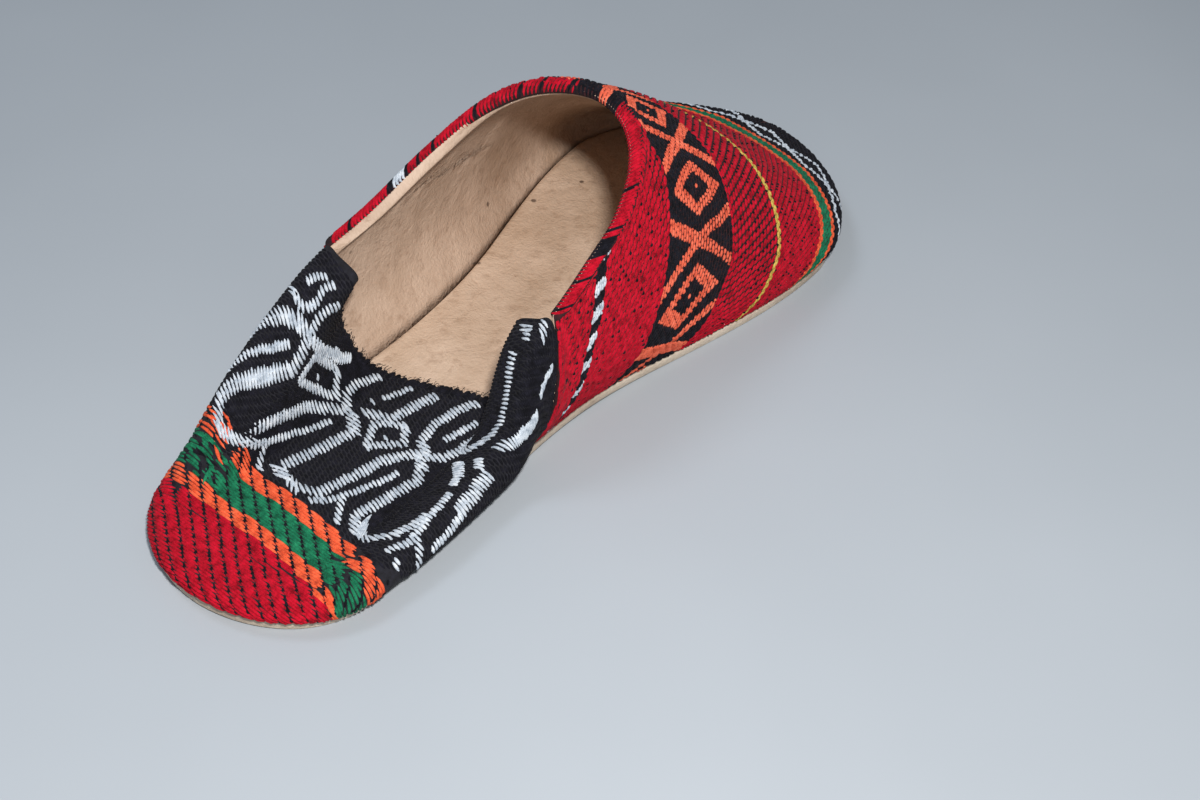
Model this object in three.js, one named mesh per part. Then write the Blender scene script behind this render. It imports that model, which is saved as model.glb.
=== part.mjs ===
// A babouche slipper: turned leather outsole, leather insole, a lined cloth
// vamp that is open at the throat, and a lined cloth back quarter that has
// been trodden down, so that it folds over onto the insole.
// Millimetres. +X runs to the toe, +Y to the wearer's left, +Z up.
import * as THREE from 'three';
import { mergeVertices } from 'three/addons/utils/BufferGeometryUtils.js';

// the last, seen from above
const LENGTH = 250; // sole, heel to toe
const BALL_WIDTH = 95; // widest place of the sole
const HEEL_WIDTH = 66.5; // sole at the heel
const WAIST_IN = 10; // how far each edge draws in at the waist
const HEEL_CUP = 27; // length of the round heel end
const TOE_LENGTH = 43; // from the widest place to the tip
const TOE_TAPER = 1.6; // 2 keeps the toe broad, 1 draws it in at once
const TOE_ROUND = 1.75; // 2 is a round tip, less is more pointed
const TOE_SWAY = 7; // the tip lies this far to the left of the axis
const HEEL_SWAY = 0.8; // and the back of the heel this far
const SWAY_FROM = 0.35; // share of the length where the axis is straight

// the last, seen from the side, above the floor
const INSTEP = 69; // top of the throat
const SEAM_TOP = 45; // top of the side seams
const ARCH = 1.2; // lift of the sole at the waist
const TOE_SPRING = 1.8; // lift of the sole at the tip
const HEEL_LIFT = 0.8; // lift of the sole at the back of the heel
const FLATS = { heel: [0.06, 0.28], forefoot: [0.62, 0.82] }; // shares of LENGTH

// thicknesses
const OUTSOLE = 3.2;
const INSOLE = 1.6;
const WALL = 2.4; // cloth and its leather lining
const RIM_OUT = 1.5; // swell of the turned edge on the cloth
const RIM_IN = 1.6; // swell of the turned edge on the lining
const RIM_DEPTH = 6; // how far the turned edge reaches down the wall
const RIM_ROUND = 0.33; // share of RIM_DEPTH over which the edge is rounded
const RIM_LIP = 0.35; // share of the wall left at the very edge, before it rounds
const SOLE_ROUND = 0.9; // worn corner along the edge of the outsole
const GAP = 0.3; // between pieces that are sewn together
const INSOLE_EASE = 0.8; // the insole is cut this much smaller all round
const INSOLE_SHORT = 3; // and ends this much further from the tip

// side seams between vamp and quarter, near is right and far is left
const NEAR_SEAM_FOOT = 90; // behind this the quarter begins, from the heel
const NEAR_SEAM_HEAD = 97;
const FAR_SEAM_FOOT = 83;
const FAR_SEAM_HEAD = 84;

// The vamp's section at stations along the sole. at: share of LENGTH. crown:
// height of its top as a share of INSTEP (over the open throat it is where the
// sides would meet). belly: how far it hangs over the sole's edge, as a share
// of WALL. rise: how high above the sole it does, as a share of INSTEP.
const VAMP = [
  { at: 0.32, crown: 1.14, belly: 3.2, rise: 0.28 },
  { at: 0.40, crown: 1.15, belly: 3.1, rise: 0.28 },
  { at: 0.48, crown: 1.15, belly: 2.8, rise: 0.27 },
  { at: 0.56, crown: 1.10, belly: 2.3, rise: 0.23 },
  { at: 0.62, crown: 1.01, belly: 1.8, rise: 0.2 },
  { at: 0.68, crown: 0.89, belly: 1.4, rise: 0.16 },
  { at: 0.76, crown: 0.69, belly: 1.2, rise: 0.12 },
  { at: 0.84, crown: 0.44, belly: 1.1, rise: 0.09 },
  { at: 0.92, crown: 0.25, belly: 0.9, rise: 0.07 },
  { at: 0.97, crown: 0.16, belly: 0.8, rise: 0.05 },
  { at: 1.0, crown: 0.125, belly: 0.8, rise: 0.035 },
];

// The topline. up: share of the half girth from the sole edge to the crown.
// at: share of LENGTH. The last row lies past the crown and keeps the curve
// level there.
const TOPLINE = [
  { up: 0.42, at: 0.32 },
  { up: 0.45, at: 0.39 },
  { up: 0.5, at: 0.45 },
  { up: 0.57, at: 0.51 },
  { up: 0.7, at: 0.57 },
  { up: 0.85, at: 0.61 },
  { up: 1.0, at: 0.626 },
  { up: 1.15, at: 0.61 },
];
const BELLY_UP = 0.25; // share of the half girth below the belly

// The trodden quarter, from the near seam (-1) round the heel (0) to the far
// seam (1). crest: height of the fold. belly: how far it hangs over the sole
// edge. roll: half width of the fold. dip and sink: how far in from the sole
// edge the cloth comes down, and the height left there. Heights are shares of
// the way from the cloth lying on the insole up to SEAM_TOP, widths are
// shares of WALL.
const QUARTER = [
  { round: -1.0, crest: 1.0, belly: 2.7, roll: 1.3, dip: 2.7, sink: 0.88 },
  { round: -0.965, crest: 0.9, belly: 2.6, roll: 1.4, dip: 2.8, sink: 0.7 },
  { round: -0.93, crest: 0.5, belly: 2.6, roll: 1.6, dip: 3.2, sink: 0.24 },
  { round: -0.89, crest: 0.22, belly: 2.5, roll: 1.7, dip: 3.8, sink: 0.04 },
  { round: -0.8, crest: 0.13, belly: 2.3, roll: 1.8, dip: 4.4, sink: 0.0 },
  { round: -0.6, crest: 0.1, belly: 1.9, roll: 1.8, dip: 4.8, sink: 0.0 },
  { round: -0.4, crest: 0.05, belly: 1.2, roll: 1.7, dip: 5.4, sink: 0.0 },
  { round: -0.2, crest: 0.02, belly: 0.5, roll: 1.6, dip: 6.0, sink: 0.0 },
  { round: 0.2, crest: 0.01, belly: 0.2, roll: 1.6, dip: 6.0, sink: 0.0 },
  { round: 0.4, crest: 0.05, belly: 0.3, roll: 1.6, dip: 5.6, sink: 0.03 },
  { round: 0.5, crest: 0.19, belly: 0.7, roll: 1.6, dip: 5.2, sink: 0.11 },
  { round: 0.62, crest: 0.48, belly: 1.2, roll: 1.7, dip: 4.8, sink: 0.3 },
  { round: 0.76, crest: 0.73, belly: 1.9, roll: 1.7, dip: 4.2, sink: 0.52 },
  { round: 0.9, crest: 0.92, belly: 2.5, roll: 1.5, dip: 3.3, sink: 0.76 },
  { round: 1.0, crest: 1.0, belly: 2.8, roll: 1.3, dip: 2.7, sink: 0.88 },
];

// Points up the quarter's wall to its fold. over and roll: shares of those two
// widths, outward and inward. up: share of the way from the sole to the crest.
const FOLD = [
  { over: 0.75, roll: 0, up: 0.25 },
  { over: 1, roll: 0, up: 0.55 },
  { over: 1, roll: 0.5, up: 0.92 },
  { over: 1, roll: 1, up: 1 },
];
const SHOULDER = { roll: 1.8, down: 0.3 }; // where the cloth turns down inside
const REST = { along: 0.5, up: 0.25 }; // where it comes to rest on its way in
const SEAM_LEAN = 6; // how closely the lines near a seam follow its slant

// The free edge of the quarter, which lies across the insole and climbs the
// lining at both ends. at: share of LENGTH. across: share of the half width,
// left is positive. up: as in the table above.
const FREE_EDGE = [
  { round: -1.0, at: 0.385, across: -0.78, up: 0.8 },
  { round: -0.965, at: 0.386, across: -0.76, up: 0.5 },
  { round: -0.93, at: 0.388, across: -0.7, up: 0.12 },
  { round: -0.87, at: 0.387, across: -0.58, up: 0.01 },
  { round: -0.5, at: 0.376, across: -0.28, up: 0.0 },
  { round: 0.0, at: 0.36, across: 0.1, up: 0.0 },
  { round: 0.45, at: 0.345, across: 0.5, up: 0.01 },
  { round: 0.65, at: 0.335, across: 0.78, up: 0.1 },
  { round: 0.85, at: 0.325, across: 0.96, up: 0.42 },
  { round: 1.0, at: 0.328, across: 0.93, up: 0.8 },
];

// how finely each piece and line is divided
const SOLE_STEPS = 40;
const VAMP_STEPS = 20;
const SEAM_STEPS = 8;
const THROAT_STEPS = 13;
const QUARTER_ROUND_STEPS = 60;
const QUARTER_ACROSS_STEPS = 24;
const EDGE_STEPS = 400; // of the fine line that the others are measured along
const SETTLE_STEPS = 20; // rounds in which a line finds its seam
const SEARCH_STEPS = 40; // halvings in which a corner is found
const MERGE = 0.0001; // corners closer than this are one
const SEAM_CROWDING = 0.15; // draws the quarter's lines towards the seams
const RIM_ROWS = [0, 0.13, 0.33, 0.6, 1, 1.5]; // shares of RIM_DEPTH

const NEAR = -1;
const FAR = 1;
const RIGHT_ANGLE = Math.PI / 2;

// a smooth curve through one column of a table, level beyond its ends
function column(rows, key, name) {
  const xs = rows.map((row) => row[key]);
  const ys = rows.map((row) => row[name]);
  const slope = (i) => {
    const a = Math.max(i - 1, 0);
    const b = Math.min(i + 1, xs.length - 1);
    return (ys[b] - ys[a]) / (xs[b] - xs[a]);
  };
  return (x) => {
    if (x <= xs[0]) return ys[0];
    if (x >= xs[xs.length - 1]) return ys[ys.length - 1];
    const i = xs.findIndex((value) => value > x) - 1;
    const width = xs[i + 1] - xs[i];
    const s = (x - xs[i]) / width;
    const rise = s * s * (3 - 2 * s);
    const lead = s * (1 - s) * (1 - s) * width * slope(i);
    const tail = s * s * (s - 1) * width * slope(i + 1);
    return ys[i] + (ys[i + 1] - ys[i]) * rise + lead + tail;
  };
}

// outline of the sole
function halfWidth(x) {
  const ballX = LENGTH - TOE_LENGTH;
  if (x < HEEL_CUP) {
    const back = 1 - Math.max(x, 0) / HEEL_CUP;
    return (HEEL_WIDTH / 2) * Math.sqrt(1 - back * back);
  }
  if (x > ballX) {
    const front = Math.min((x - ballX) / TOE_LENGTH, 1);
    return (BALL_WIDTH / 2) * (1 - front ** TOE_TAPER) ** (1 / TOE_ROUND);
  }
  const s = (x - HEEL_CUP) / (ballX - HEEL_CUP);
  const widening = ((BALL_WIDTH - HEEL_WIDTH) / 2) * s * s * (3 - 2 * s);
  return HEEL_WIDTH / 2 + widening - WAIST_IN * Math.sin(Math.PI * s) ** 2;
}

function centre(x) {
  const t = x / LENGTH;
  if (t < SWAY_FROM) return HEEL_SWAY * ((SWAY_FROM - t) / SWAY_FROM) ** 2;
  return TOE_SWAY * ((t - SWAY_FROM) / (1 - SWAY_FROM)) ** 2;
}

// stations that crowd towards both round ends
function station(share) {
  return (LENGTH * (1 - Math.cos(Math.PI * share))) / 2;
}

function stationShare(x) {
  return Math.acos(1 - (2 * x) / LENGTH) / Math.PI;
}

// underside of the sole: flat heel and forefoot, with the waist, the toe and
// the back of the heel lifted
function ground(x) {
  const t = x / LENGTH;
  const [heelBack, heelFront] = FLATS.heel;
  const [foreBack, foreFront] = FLATS.forefoot;
  const heel = Math.max(0, 1 - t / heelBack) ** 2;
  const toe = Math.max(0, (t - foreFront) / (1 - foreFront)) ** 2;
  const waist = THREE.MathUtils.clamp((t - heelFront) / (foreBack - heelFront), 0, 1);
  return HEEL_LIFT * heel + TOE_SPRING * toe + ARCH * Math.sin(Math.PI * waist) ** 2;
}

function seat(x) {
  return ground(x) + OUTSOLE + GAP;
}

// the sole's edge as a fine line from the heel to the toe, on one side
function edgeLine(side) {
  const line = [];
  for (let i = 0; i <= EDGE_STEPS; i += 1) {
    const x = station(i / EDGE_STEPS);
    line.push(new THREE.Vector2(x, centre(x) + side * halfWidth(x)));
  }
  let run = 0;
  const runs = line.map((point, i) => {
    if (i > 0) run += point.distanceTo(line[i - 1]);
    return run;
  });
  return { line, runs, side };
}

const EDGES = { [NEAR]: edgeLine(NEAR), [FAR]: edgeLine(FAR) };

// outward direction of the edge at a place in its fine line
function outward(edge, i) {
  const last = edge.line.length - 1;
  if (i === 0) return new THREE.Vector2(-1, 0);
  if (i === last) return new THREE.Vector2(1, 0);
  const along = edge.line[i + 1].clone().sub(edge.line[i - 1]).normalize();
  return new THREE.Vector2(-edge.side * along.y, edge.side * along.x);
}

function between(edge, i, s) {
  const point = edge.line[i].clone().lerp(edge.line[i + 1], s);
  const out = outward(edge, i).lerp(outward(edge, i + 1), s).normalize();
  return { point, out };
}

function edgeAtX(side, x) {
  const edge = EDGES[side];
  const steps = edge.line.length - 1;
  const place = stationShare(THREE.MathUtils.clamp(x, 0, LENGTH)) * steps;
  const i = Math.min(Math.floor(place), steps - 1);
  return between(edge, i, place - i);
}

function edgeAtRun(side, run) {
  const edge = EDGES[side];
  const found = edge.runs.findIndex((value) => value > run) - 1;
  const i = THREE.MathUtils.clamp(found, 0, edge.line.length - 2);
  return between(edge, i, (run - edge.runs[i]) / (edge.runs[i + 1] - edge.runs[i]));
}

function runAtX(side, x) {
  const edge = EDGES[side];
  const place = stationShare(x) * (edge.line.length - 1);
  const i = Math.floor(place);
  return THREE.MathUtils.lerp(edge.runs[i], edge.runs[i + 1], place - i);
}

// the edge of a piece that lies inside the sole's outline, as a curve of y
// over x that ends where the two sides meet
function insetEdge(side, inset) {
  const edge = EDGES[side];
  const kept = [];
  edge.line.forEach((point, i) => {
    const moved = point.clone().addScaledVector(outward(edge, i), -inset);
    const clear = side * (moved.y - centre(moved.x)) >= 0;
    const forward = kept.length === 0 || moved.x > kept[kept.length - 1].x;
    if (clear && forward) kept.push(moved);
  });
  return kept;
}

function yAlong(line, x) {
  const i = THREE.MathUtils.clamp(line.findIndex((point) => point.x > x) - 1, 0, line.length - 2);
  const s = THREE.MathUtils.clamp((x - line[i].x) / (line[i + 1].x - line[i].x), 0, 1);
  return THREE.MathUtils.lerp(line[i].y, line[i + 1].y, s);
}

// a closed body from quads and triangles over a shared list of points
function body(points, faces) {
  const geometry = new THREE.BufferGeometry();
  const position = points.flatMap((point) => [point.x, point.y, point.z]);
  geometry.setAttribute('position', new THREE.Float32BufferAttribute(position, 3));
  const index = faces.flatMap((face) => {
    if (face.length === 3) return face;
    return [face[0], face[1], face[2], face[0], face[2], face[3]];
  });
  geometry.setIndex(index);
  return geometry;
}

// a flat piece in cross sections along the shoe, each a ring of corners
function layer(inset, below, thickness, corner, short = 0) {
  const near = insetEdge(NEAR, inset);
  const far = insetEdge(FAR, inset);
  const back = Math.max(near[0].x, far[0].x);
  const front = Math.min(near[near.length - 1].x, far[far.length - 1].x) - short;
  const points = [];
  const faces = [];
  const ring = 8;
  for (let i = 1; i < SOLE_STEPS; i += 1) {
    const share = i / SOLE_STEPS;
    const x = back + (front - back) * (station(share) / LENGTH);
    const right = yAlong(near, x);
    const left = yAlong(far, x);
    const cut = Math.min(corner, (left - right) / 4);
    const low = below(x);
    const high = low + thickness;
    points.push(new THREE.Vector3(x, right + cut, low));
    points.push(new THREE.Vector3(x, left - cut, low));
    points.push(new THREE.Vector3(x, left, low + cut));
    points.push(new THREE.Vector3(x, left, high - cut / 2));
    points.push(new THREE.Vector3(x, left - cut / 2, high));
    points.push(new THREE.Vector3(x, right + cut / 2, high));
    points.push(new THREE.Vector3(x, right, high - cut / 2));
    points.push(new THREE.Vector3(x, right, low + cut));
  }
  const rings = points.length / ring;
  for (let i = 0; i < rings - 1; i += 1) {
    for (let j = 0; j < ring; j += 1) {
      const k = (j + 1) % ring;
      const a = i * ring;
      const b = a + ring;
      faces.push([a + j, a + k, b + k, b + j]);
    }
  }
  const end = (rings - 1) * ring;
  for (let j = 1; j < ring - 1; j += 1) {
    faces.push([0, j + 1, j]);
    faces.push([end, end + j, end + j + 1]);
  }
  return body(points, faces);
}

// the two faces of a wall from a grid of points: outer grid, inner grid, and
// strips that join them along the grid's own border, with no strip at the
// last column where the grid closes on itself
function wall(outer, inner, closed = false) {
  const rows = outer.length;
  const columns = outer[0].length;
  const points = [...outer.flat(), ...inner.flat()];
  const shift = rows * columns;
  const at = (i, j) => i * columns + j;
  const faces = [];
  for (let i = 0; i < rows - 1; i += 1) {
    for (let j = 0; j < columns - 1; j += 1) {
      const quad = [at(i, j), at(i, j + 1), at(i + 1, j + 1), at(i + 1, j)];
      faces.push(quad);
      faces.push(quad.map((k) => k + shift).reverse());
    }
  }
  const strip = (a, b) => faces.push([b, a, a + shift, b + shift]);
  for (let j = 0; j < columns - 1; j += 1) {
    strip(at(0, j), at(0, j + 1));
    strip(at(rows - 1, j + 1), at(rows - 1, j));
  }
  for (let i = 0; i < rows - 1; i += 1) {
    strip(at(i + 1, 0), at(i, 0));
    if (!closed) strip(at(i, columns - 1), at(i + 1, columns - 1));
  }
  return mergeVertices(body(points, faces), MERGE);
}

function gridNormals(grid) {
  const rows = grid.length;
  const columns = grid[0].length;
  return grid.map((line, i) => line.map((point, j) => {
    const along = grid[Math.min(i + 1, rows - 1)][j].clone().sub(grid[Math.max(i - 1, 0)][j]);
    const across = line[Math.min(j + 1, columns - 1)].clone().sub(line[Math.max(j - 1, 0)]);
    return across.cross(along).normalize();
  }));
}

// the slanted planes of the two side seams
function seamX(side, z) {
  const foot = side === NEAR ? NEAR_SEAM_FOOT : FAR_SEAM_FOOT;
  const head = side === NEAR ? NEAR_SEAM_HEAD : FAR_SEAM_HEAD;
  return foot + ((head - foot) * (z - OUTSOLE)) / (SEAM_TOP - OUTSOLE);
}

// the vamp
const crownShare = column(VAMP, 'at', 'crown');
const bellyShare = column(VAMP, 'at', 'belly');
const riseShare = column(VAMP, 'at', 'rise');
const toplineShare = column(TOPLINE, 'up', 'at');

function crownHeight(x) {
  return crownShare(x / LENGTH) * INSTEP;
}

// a point of the vamp's outer face: up is the share of the half girth
function vampPoint(x, side, up) {
  const t = x / LENGTH;
  const edge = edgeAtX(side, x);
  const low = seat(x);
  const belly = bellyShare(t) * WALL;
  const middle = low + riseShare(t) * INSTEP;
  const crown = crownHeight(x);
  let core = halfWidth(x);
  let out = belly * Math.sin((RIGHT_ANGLE * up) / BELLY_UP);
  let z = low + ((middle - low) * up) / BELLY_UP;
  if (up > BELLY_UP) {
    const angle = (RIGHT_ANGLE * (up - BELLY_UP)) / (1 - BELLY_UP);
    core = halfWidth(x) * Math.cos(angle);
    out = belly * Math.cos(angle);
    z = middle + (crown - middle) * Math.sin(angle);
  }
  const y = centre(x) + side * core + edge.out.y * out;
  return new THREE.Vector3(x + edge.out.x * out, y, z);
}

// where a line of the vamp meets its seam's plane
function seamStart(side, up) {
  let x = seamX(side, OUTSOLE);
  for (let i = 0; i < SETTLE_STEPS; i += 1) x = seamX(side, vampPoint(x, side, up).z) + GAP / 2;
  return x;
}

// where the vamp starts at a share of the half girth: at its seam or topline
function vampStart(side, up) {
  return Math.max(seamStart(side, up), toplineShare(up) * LENGTH);
}

// the share of the half girth at which seam and topline meet
function cornerUp(side) {
  let low = BELLY_UP;
  let high = 1;
  for (let i = 0; i < SEARCH_STEPS; i += 1) {
    const up = (low + high) / 2;
    if (toplineShare(up) * LENGTH < seamStart(side, up)) low = up;
    else high = up;
  }
  return low;
}

// how far the cloth and the lining stand out from the vamp's plain outer face
// at a distance from the turned edge
function rimFaces(distance) {
  const s = Math.min(distance / RIM_DEPTH, 1);
  const round = Math.sqrt(1 - (1 - Math.min(s / RIM_ROUND, 1)) ** 2);
  const drawnIn = (WALL / 2) * (1 - RIM_LIP) * (1 - round);
  const swell = Math.sin(Math.PI * s);
  return { cloth: RIM_OUT * swell - drawnIn, lining: drawnIn - WALL - RIM_IN * swell };
}

// shares of the half girth from the sole edge, past the corner where seam and
// topline meet, to the crown
function girthShares(corner) {
  const shares = [];
  for (let i = 0; i < SEAM_STEPS; i += 1) shares.push((corner * i) / SEAM_STEPS);
  for (let i = 0; i <= THROAT_STEPS; i += 1) {
    shares.push(corner + ((1 - corner) * i) / THROAT_STEPS);
  }
  return shares;
}

// lines over the vamp, each from its seam or topline to the tip of the toe:
// the near side from the sole up to the crown, then the far side down again
function vampLines() {
  const near = girthShares(cornerUp(NEAR));
  const far = girthShares(cornerUp(FAR));
  const lines = near.map((up, i) => {
    const tipUp = (up + far[i]) / 2;
    return { side: NEAR, up, tipUp, rim: i >= SEAM_STEPS };
  });
  const back = lines.slice(0, -1).map((line, i) => ({ ...line, side: FAR, up: far[i] }));
  return [...lines, ...back.reverse()];
}

function vamp() {
  const lines = vampLines();
  const last = lines.length - 1;
  const end = RIM_ROWS.length + VAMP_STEPS - 1;
  const middle = lines.map(({ side, up, tipUp }) => {
    const first = vampStart(side, up);
    const places = RIM_ROWS.map((share) => first + share * RIM_DEPTH);
    const from = places[places.length - 1];
    const share = stationShare(from);
    for (let i = 1; i <= VAMP_STEPS; i += 1) {
      places.push(station(share + ((1 - share) * i) / VAMP_STEPS));
    }
    return places.map((x) => {
      const blend = THREE.MathUtils.smoothstep(x, from, LENGTH);
      return vampPoint(x, side, THREE.MathUtils.lerp(up, tipUp, blend));
    });
  });
  const normals = gridNormals(middle);
  const face = (inside) => middle.map((line, i) => line.map((point, j) => {
    const normal = normals[i][j].clone();
    const atBase = i === 0 || i === last;
    const distance = lines[i].rim ? point.distanceTo(line[0]) : RIM_DEPTH;
    const faces = rimFaces(distance);
    if (atBase) normal.z = 0;
    if (j === 0 && !lines[i].rim) normal.x = 0;
    if (j === end) normal.add(normals[last - i][j]).setY(0);
    normal.normalize();
    const moved = point.clone().addScaledVector(normal, inside ? faces.lining : faces.cloth);
    if (j === 0 && !lines[i].rim) moved.x = seamX(lines[i].side, moved.z) + GAP / 2;
    if (inside) moved.z = Math.min(moved.z, crownHeight(moved.x) + faces.lining);
    if (atBase) moved.z = seat(moved.x);
    return moved;
  }));
  const outer = face(false);
  const inner = face(true);
  for (let i = 0; i < last / 2; i += 1) {
    outer[last - i][end].copy(outer[i][end]);
    inner[last - i][end].copy(inner[i][end]);
  }
  return wall(outer, inner, true);
}

// the trodden quarter
const crestShare = column(QUARTER, 'round', 'crest');
const overShare = column(QUARTER, 'round', 'belly');
const rollShare = column(QUARTER, 'round', 'roll');
const dipShare = column(QUARTER, 'round', 'dip');
const sinkShare = column(QUARTER, 'round', 'sink');
const freeAt = column(FREE_EDGE, 'round', 'at');
const freeAcross = column(FREE_EDGE, 'round', 'across');
const freeUp = column(FREE_EDGE, 'round', 'up');

// height of the middle of the quarter's wall where it lies on the insole
function lying(x) {
  return seat(x) + INSOLE + GAP + WALL / 2;
}

function heightOf(share, x) {
  return THREE.MathUtils.lerp(lying(x), SEAM_TOP - WALL / 2, share);
}

function quarterLine(round) {
  const side = round < 0 ? NEAR : FAR;
  const foot = side === NEAR ? NEAR_SEAM_FOOT : FAR_SEAM_FOOT;
  const edge = edgeAtRun(side, Math.abs(round) * runAtX(side, foot));
  const low = seat(edge.point.x);
  const crest = heightOf(crestShare(round), edge.point.x);
  const over = overShare(round) * WALL - WALL / 2;
  const roll = rollShare(round) * WALL;
  const lean = (z) => Math.abs(round) ** SEAM_LEAN * (seamX(side, z) - foot);
  const place = (out, z) => new THREE.Vector3(
    edge.point.x + edge.out.x * out + lean(z), edge.point.y + edge.out.y * out, z);
  const dip = dipShare(round) * WALL;
  const freeX = freeAt(round) * LENGTH;
  const freeY = centre(freeX) + freeAcross(round) * halfWidth(freeX);
  const free = new THREE.Vector3(freeX, freeY, heightOf(freeUp(round), freeX));
  const sunk = place(-dip, heightOf(sinkShare(round), edge.point.x));
  const resting = sunk.clone().lerp(free, REST.along);
  resting.z = THREE.MathUtils.lerp(Math.min(sunk.z, free.z), Math.max(sunk.z, free.z), REST.up);
  const curve = new THREE.CatmullRomCurve3([
    place(-WALL / 2, low),
    ...FOLD.map((row) => place(over * row.over - roll * row.roll, low + (crest - low) * row.up)),
    place(over - roll * SHOULDER.roll, THREE.MathUtils.lerp(crest, sunk.z, SHOULDER.down)),
    sunk,
    resting,
    free,
  ], false, 'centripetal');
  const line = curve.getPoints(QUARTER_ACROSS_STEPS);
  const fold = line.reduce((best, point, i) => (point.z > line[best].z ? i : best), 0);
  line.slice(fold).forEach((point) => {
    point.z = Math.max(point.z, lying(point.x));
  });
  return line;
}

function quarter() {
  const middle = [];
  for (let i = 0; i <= QUARTER_ROUND_STEPS; i += 1) {
    const s = -1 + (2 * i) / QUARTER_ROUND_STEPS;
    middle.push(quarterLine(s + SEAM_CROWDING * Math.sin(Math.PI * s)));
  }
  const last = middle.length - 1;
  const normals = gridNormals(middle);
  const face = (distance) => middle.map((line, i) => line.map((point, j) => {
    const normal = normals[i][j].clone();
    if (j === 0) normal.z = 0;
    if (i === 0 || i === last) normal.x = 0;
    normal.normalize();
    const moved = point.clone().addScaledVector(normal, distance);
    if (i === 0) moved.x = seamX(NEAR, moved.z) - GAP / 2;
    if (i === last) moved.x = seamX(FAR, moved.z) - GAP / 2;
    moved.z = j === 0 ? seat(moved.x) : Math.max(moved.z, seat(moved.x));
    return moved;
  }));
  return wall(face(WALL / 2), face(-WALL / 2));
}

// colours as they look on the shoe
const tan = new THREE.MeshStandardMaterial({ color: 0xc9a98a, roughness: 0.62, metalness: 0 });
const cream = new THREE.MeshStandardMaterial({ color: 0xcfc3b2, roughness: 0.7, metalness: 0 });
const red = new THREE.MeshStandardMaterial({ color: 0xc8142c, roughness: 0.85, metalness: 0 });
const black = new THREE.MeshStandardMaterial({ color: 0x22222c, roughness: 0.88, metalness: 0 });

function piece(name, geometry, material) {
  const mesh = new THREE.Mesh(geometry, material);
  mesh.name = name;
  return mesh;
}

const slipper = new THREE.Group();
slipper.add(piece('outsole', layer(0, ground, OUTSOLE, SOLE_ROUND), cream));
slipper.add(piece('insole', layer(WALL + INSOLE_EASE, seat, INSOLE, INSOLE / 4, INSOLE_SHORT), tan));
slipper.add(piece('upper', vamp(), red));
slipper.add(piece('heel_quarter', quarter(), black));

// the origin lies on the floor, under the middle of the whole shoe
const box = new THREE.Box3().setFromObject(slipper);
const middle = box.getCenter(new THREE.Vector3());
slipper.position.set(-middle.x, -middle.y, -box.min.z);

export default slipper;
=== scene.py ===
import math

import bpy
import numpy as np
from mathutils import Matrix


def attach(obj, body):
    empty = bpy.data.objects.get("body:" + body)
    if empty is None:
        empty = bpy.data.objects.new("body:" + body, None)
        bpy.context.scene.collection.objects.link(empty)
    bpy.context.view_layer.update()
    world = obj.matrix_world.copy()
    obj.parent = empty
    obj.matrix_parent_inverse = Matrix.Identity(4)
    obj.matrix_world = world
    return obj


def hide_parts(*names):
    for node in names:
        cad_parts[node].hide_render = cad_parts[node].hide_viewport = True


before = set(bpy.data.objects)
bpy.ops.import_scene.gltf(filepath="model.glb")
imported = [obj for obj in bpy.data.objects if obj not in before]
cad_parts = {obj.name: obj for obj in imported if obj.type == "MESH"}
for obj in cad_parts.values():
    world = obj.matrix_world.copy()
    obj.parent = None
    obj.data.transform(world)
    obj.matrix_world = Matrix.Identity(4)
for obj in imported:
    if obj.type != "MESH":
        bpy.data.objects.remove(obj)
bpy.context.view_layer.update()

# Outsole. One layer of pale cow leather cut to the outline of the last and turned in under the
# foot. Its edge is left raw, and wear has rounded it a little.
MM = 0.001
LENGTH = 250 * MM
BALL_WIDTH = 95 * MM
HEEL_WIDTH = 66.5 * MM
WAIST_IN = 10 * MM
HEEL_CUP = 27 * MM
TOE_LENGTH = 43 * MM
TOE_TAPER = 1.6
TOE_ROUND = 1.75
TOE_SWAY = 7 * MM
HEEL_SWAY = 0.8 * MM
SWAY_FROM = 0.35
ARCH = 1.2 * MM
TOE_SPRING = 1.8 * MM
HEEL_LIFT = 0.8 * MM
HEEL_FLAT = (0.06, 0.28)
FORE_FLAT = (0.62, 0.82)
OUTSOLE = 3.2 * MM
SOLE_ROUND = 0.9 * MM
GAP = 0.3 * MM
NEAR, FAR = -1, 1
EDGE_STEPS = 400
LAST_AT = np.array([125.526, 3.535, 0]) * MM  # the part's origin, seen from the back of the heel


def half_width(x):
    x = np.clip(x, 0, LENGTH)
    ball = LENGTH - TOE_LENGTH
    back = 1 - np.minimum(x / HEEL_CUP, 1)
    heel = HEEL_WIDTH / 2 * np.sqrt(1 - back * back)
    front = np.clip((x - ball) / TOE_LENGTH, 0, 1)
    toe = BALL_WIDTH / 2 * (1 - front ** TOE_TAPER) ** (1 / TOE_ROUND)
    s = np.clip((x - HEEL_CUP) / (ball - HEEL_CUP), 0, 1)
    waist = HEEL_WIDTH / 2 + (BALL_WIDTH - HEEL_WIDTH) / 2 * s * s * (3 - 2 * s)
    waist = waist - WAIST_IN * np.sin(np.pi * s) ** 2
    return np.where(x < HEEL_CUP, heel, np.where(x > ball, toe, waist))


def centre(x):
    t = x / LENGTH
    back = HEEL_SWAY * ((SWAY_FROM - t) / SWAY_FROM) ** 2
    return np.where(t < SWAY_FROM, back, TOE_SWAY * ((t - SWAY_FROM) / (1 - SWAY_FROM)) ** 2)


def station(share):
    return LENGTH * (1 - np.cos(np.pi * share)) / 2


def station_share(x):
    return np.arccos(1 - 2 * np.clip(x, 0, LENGTH) / LENGTH) / np.pi


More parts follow.
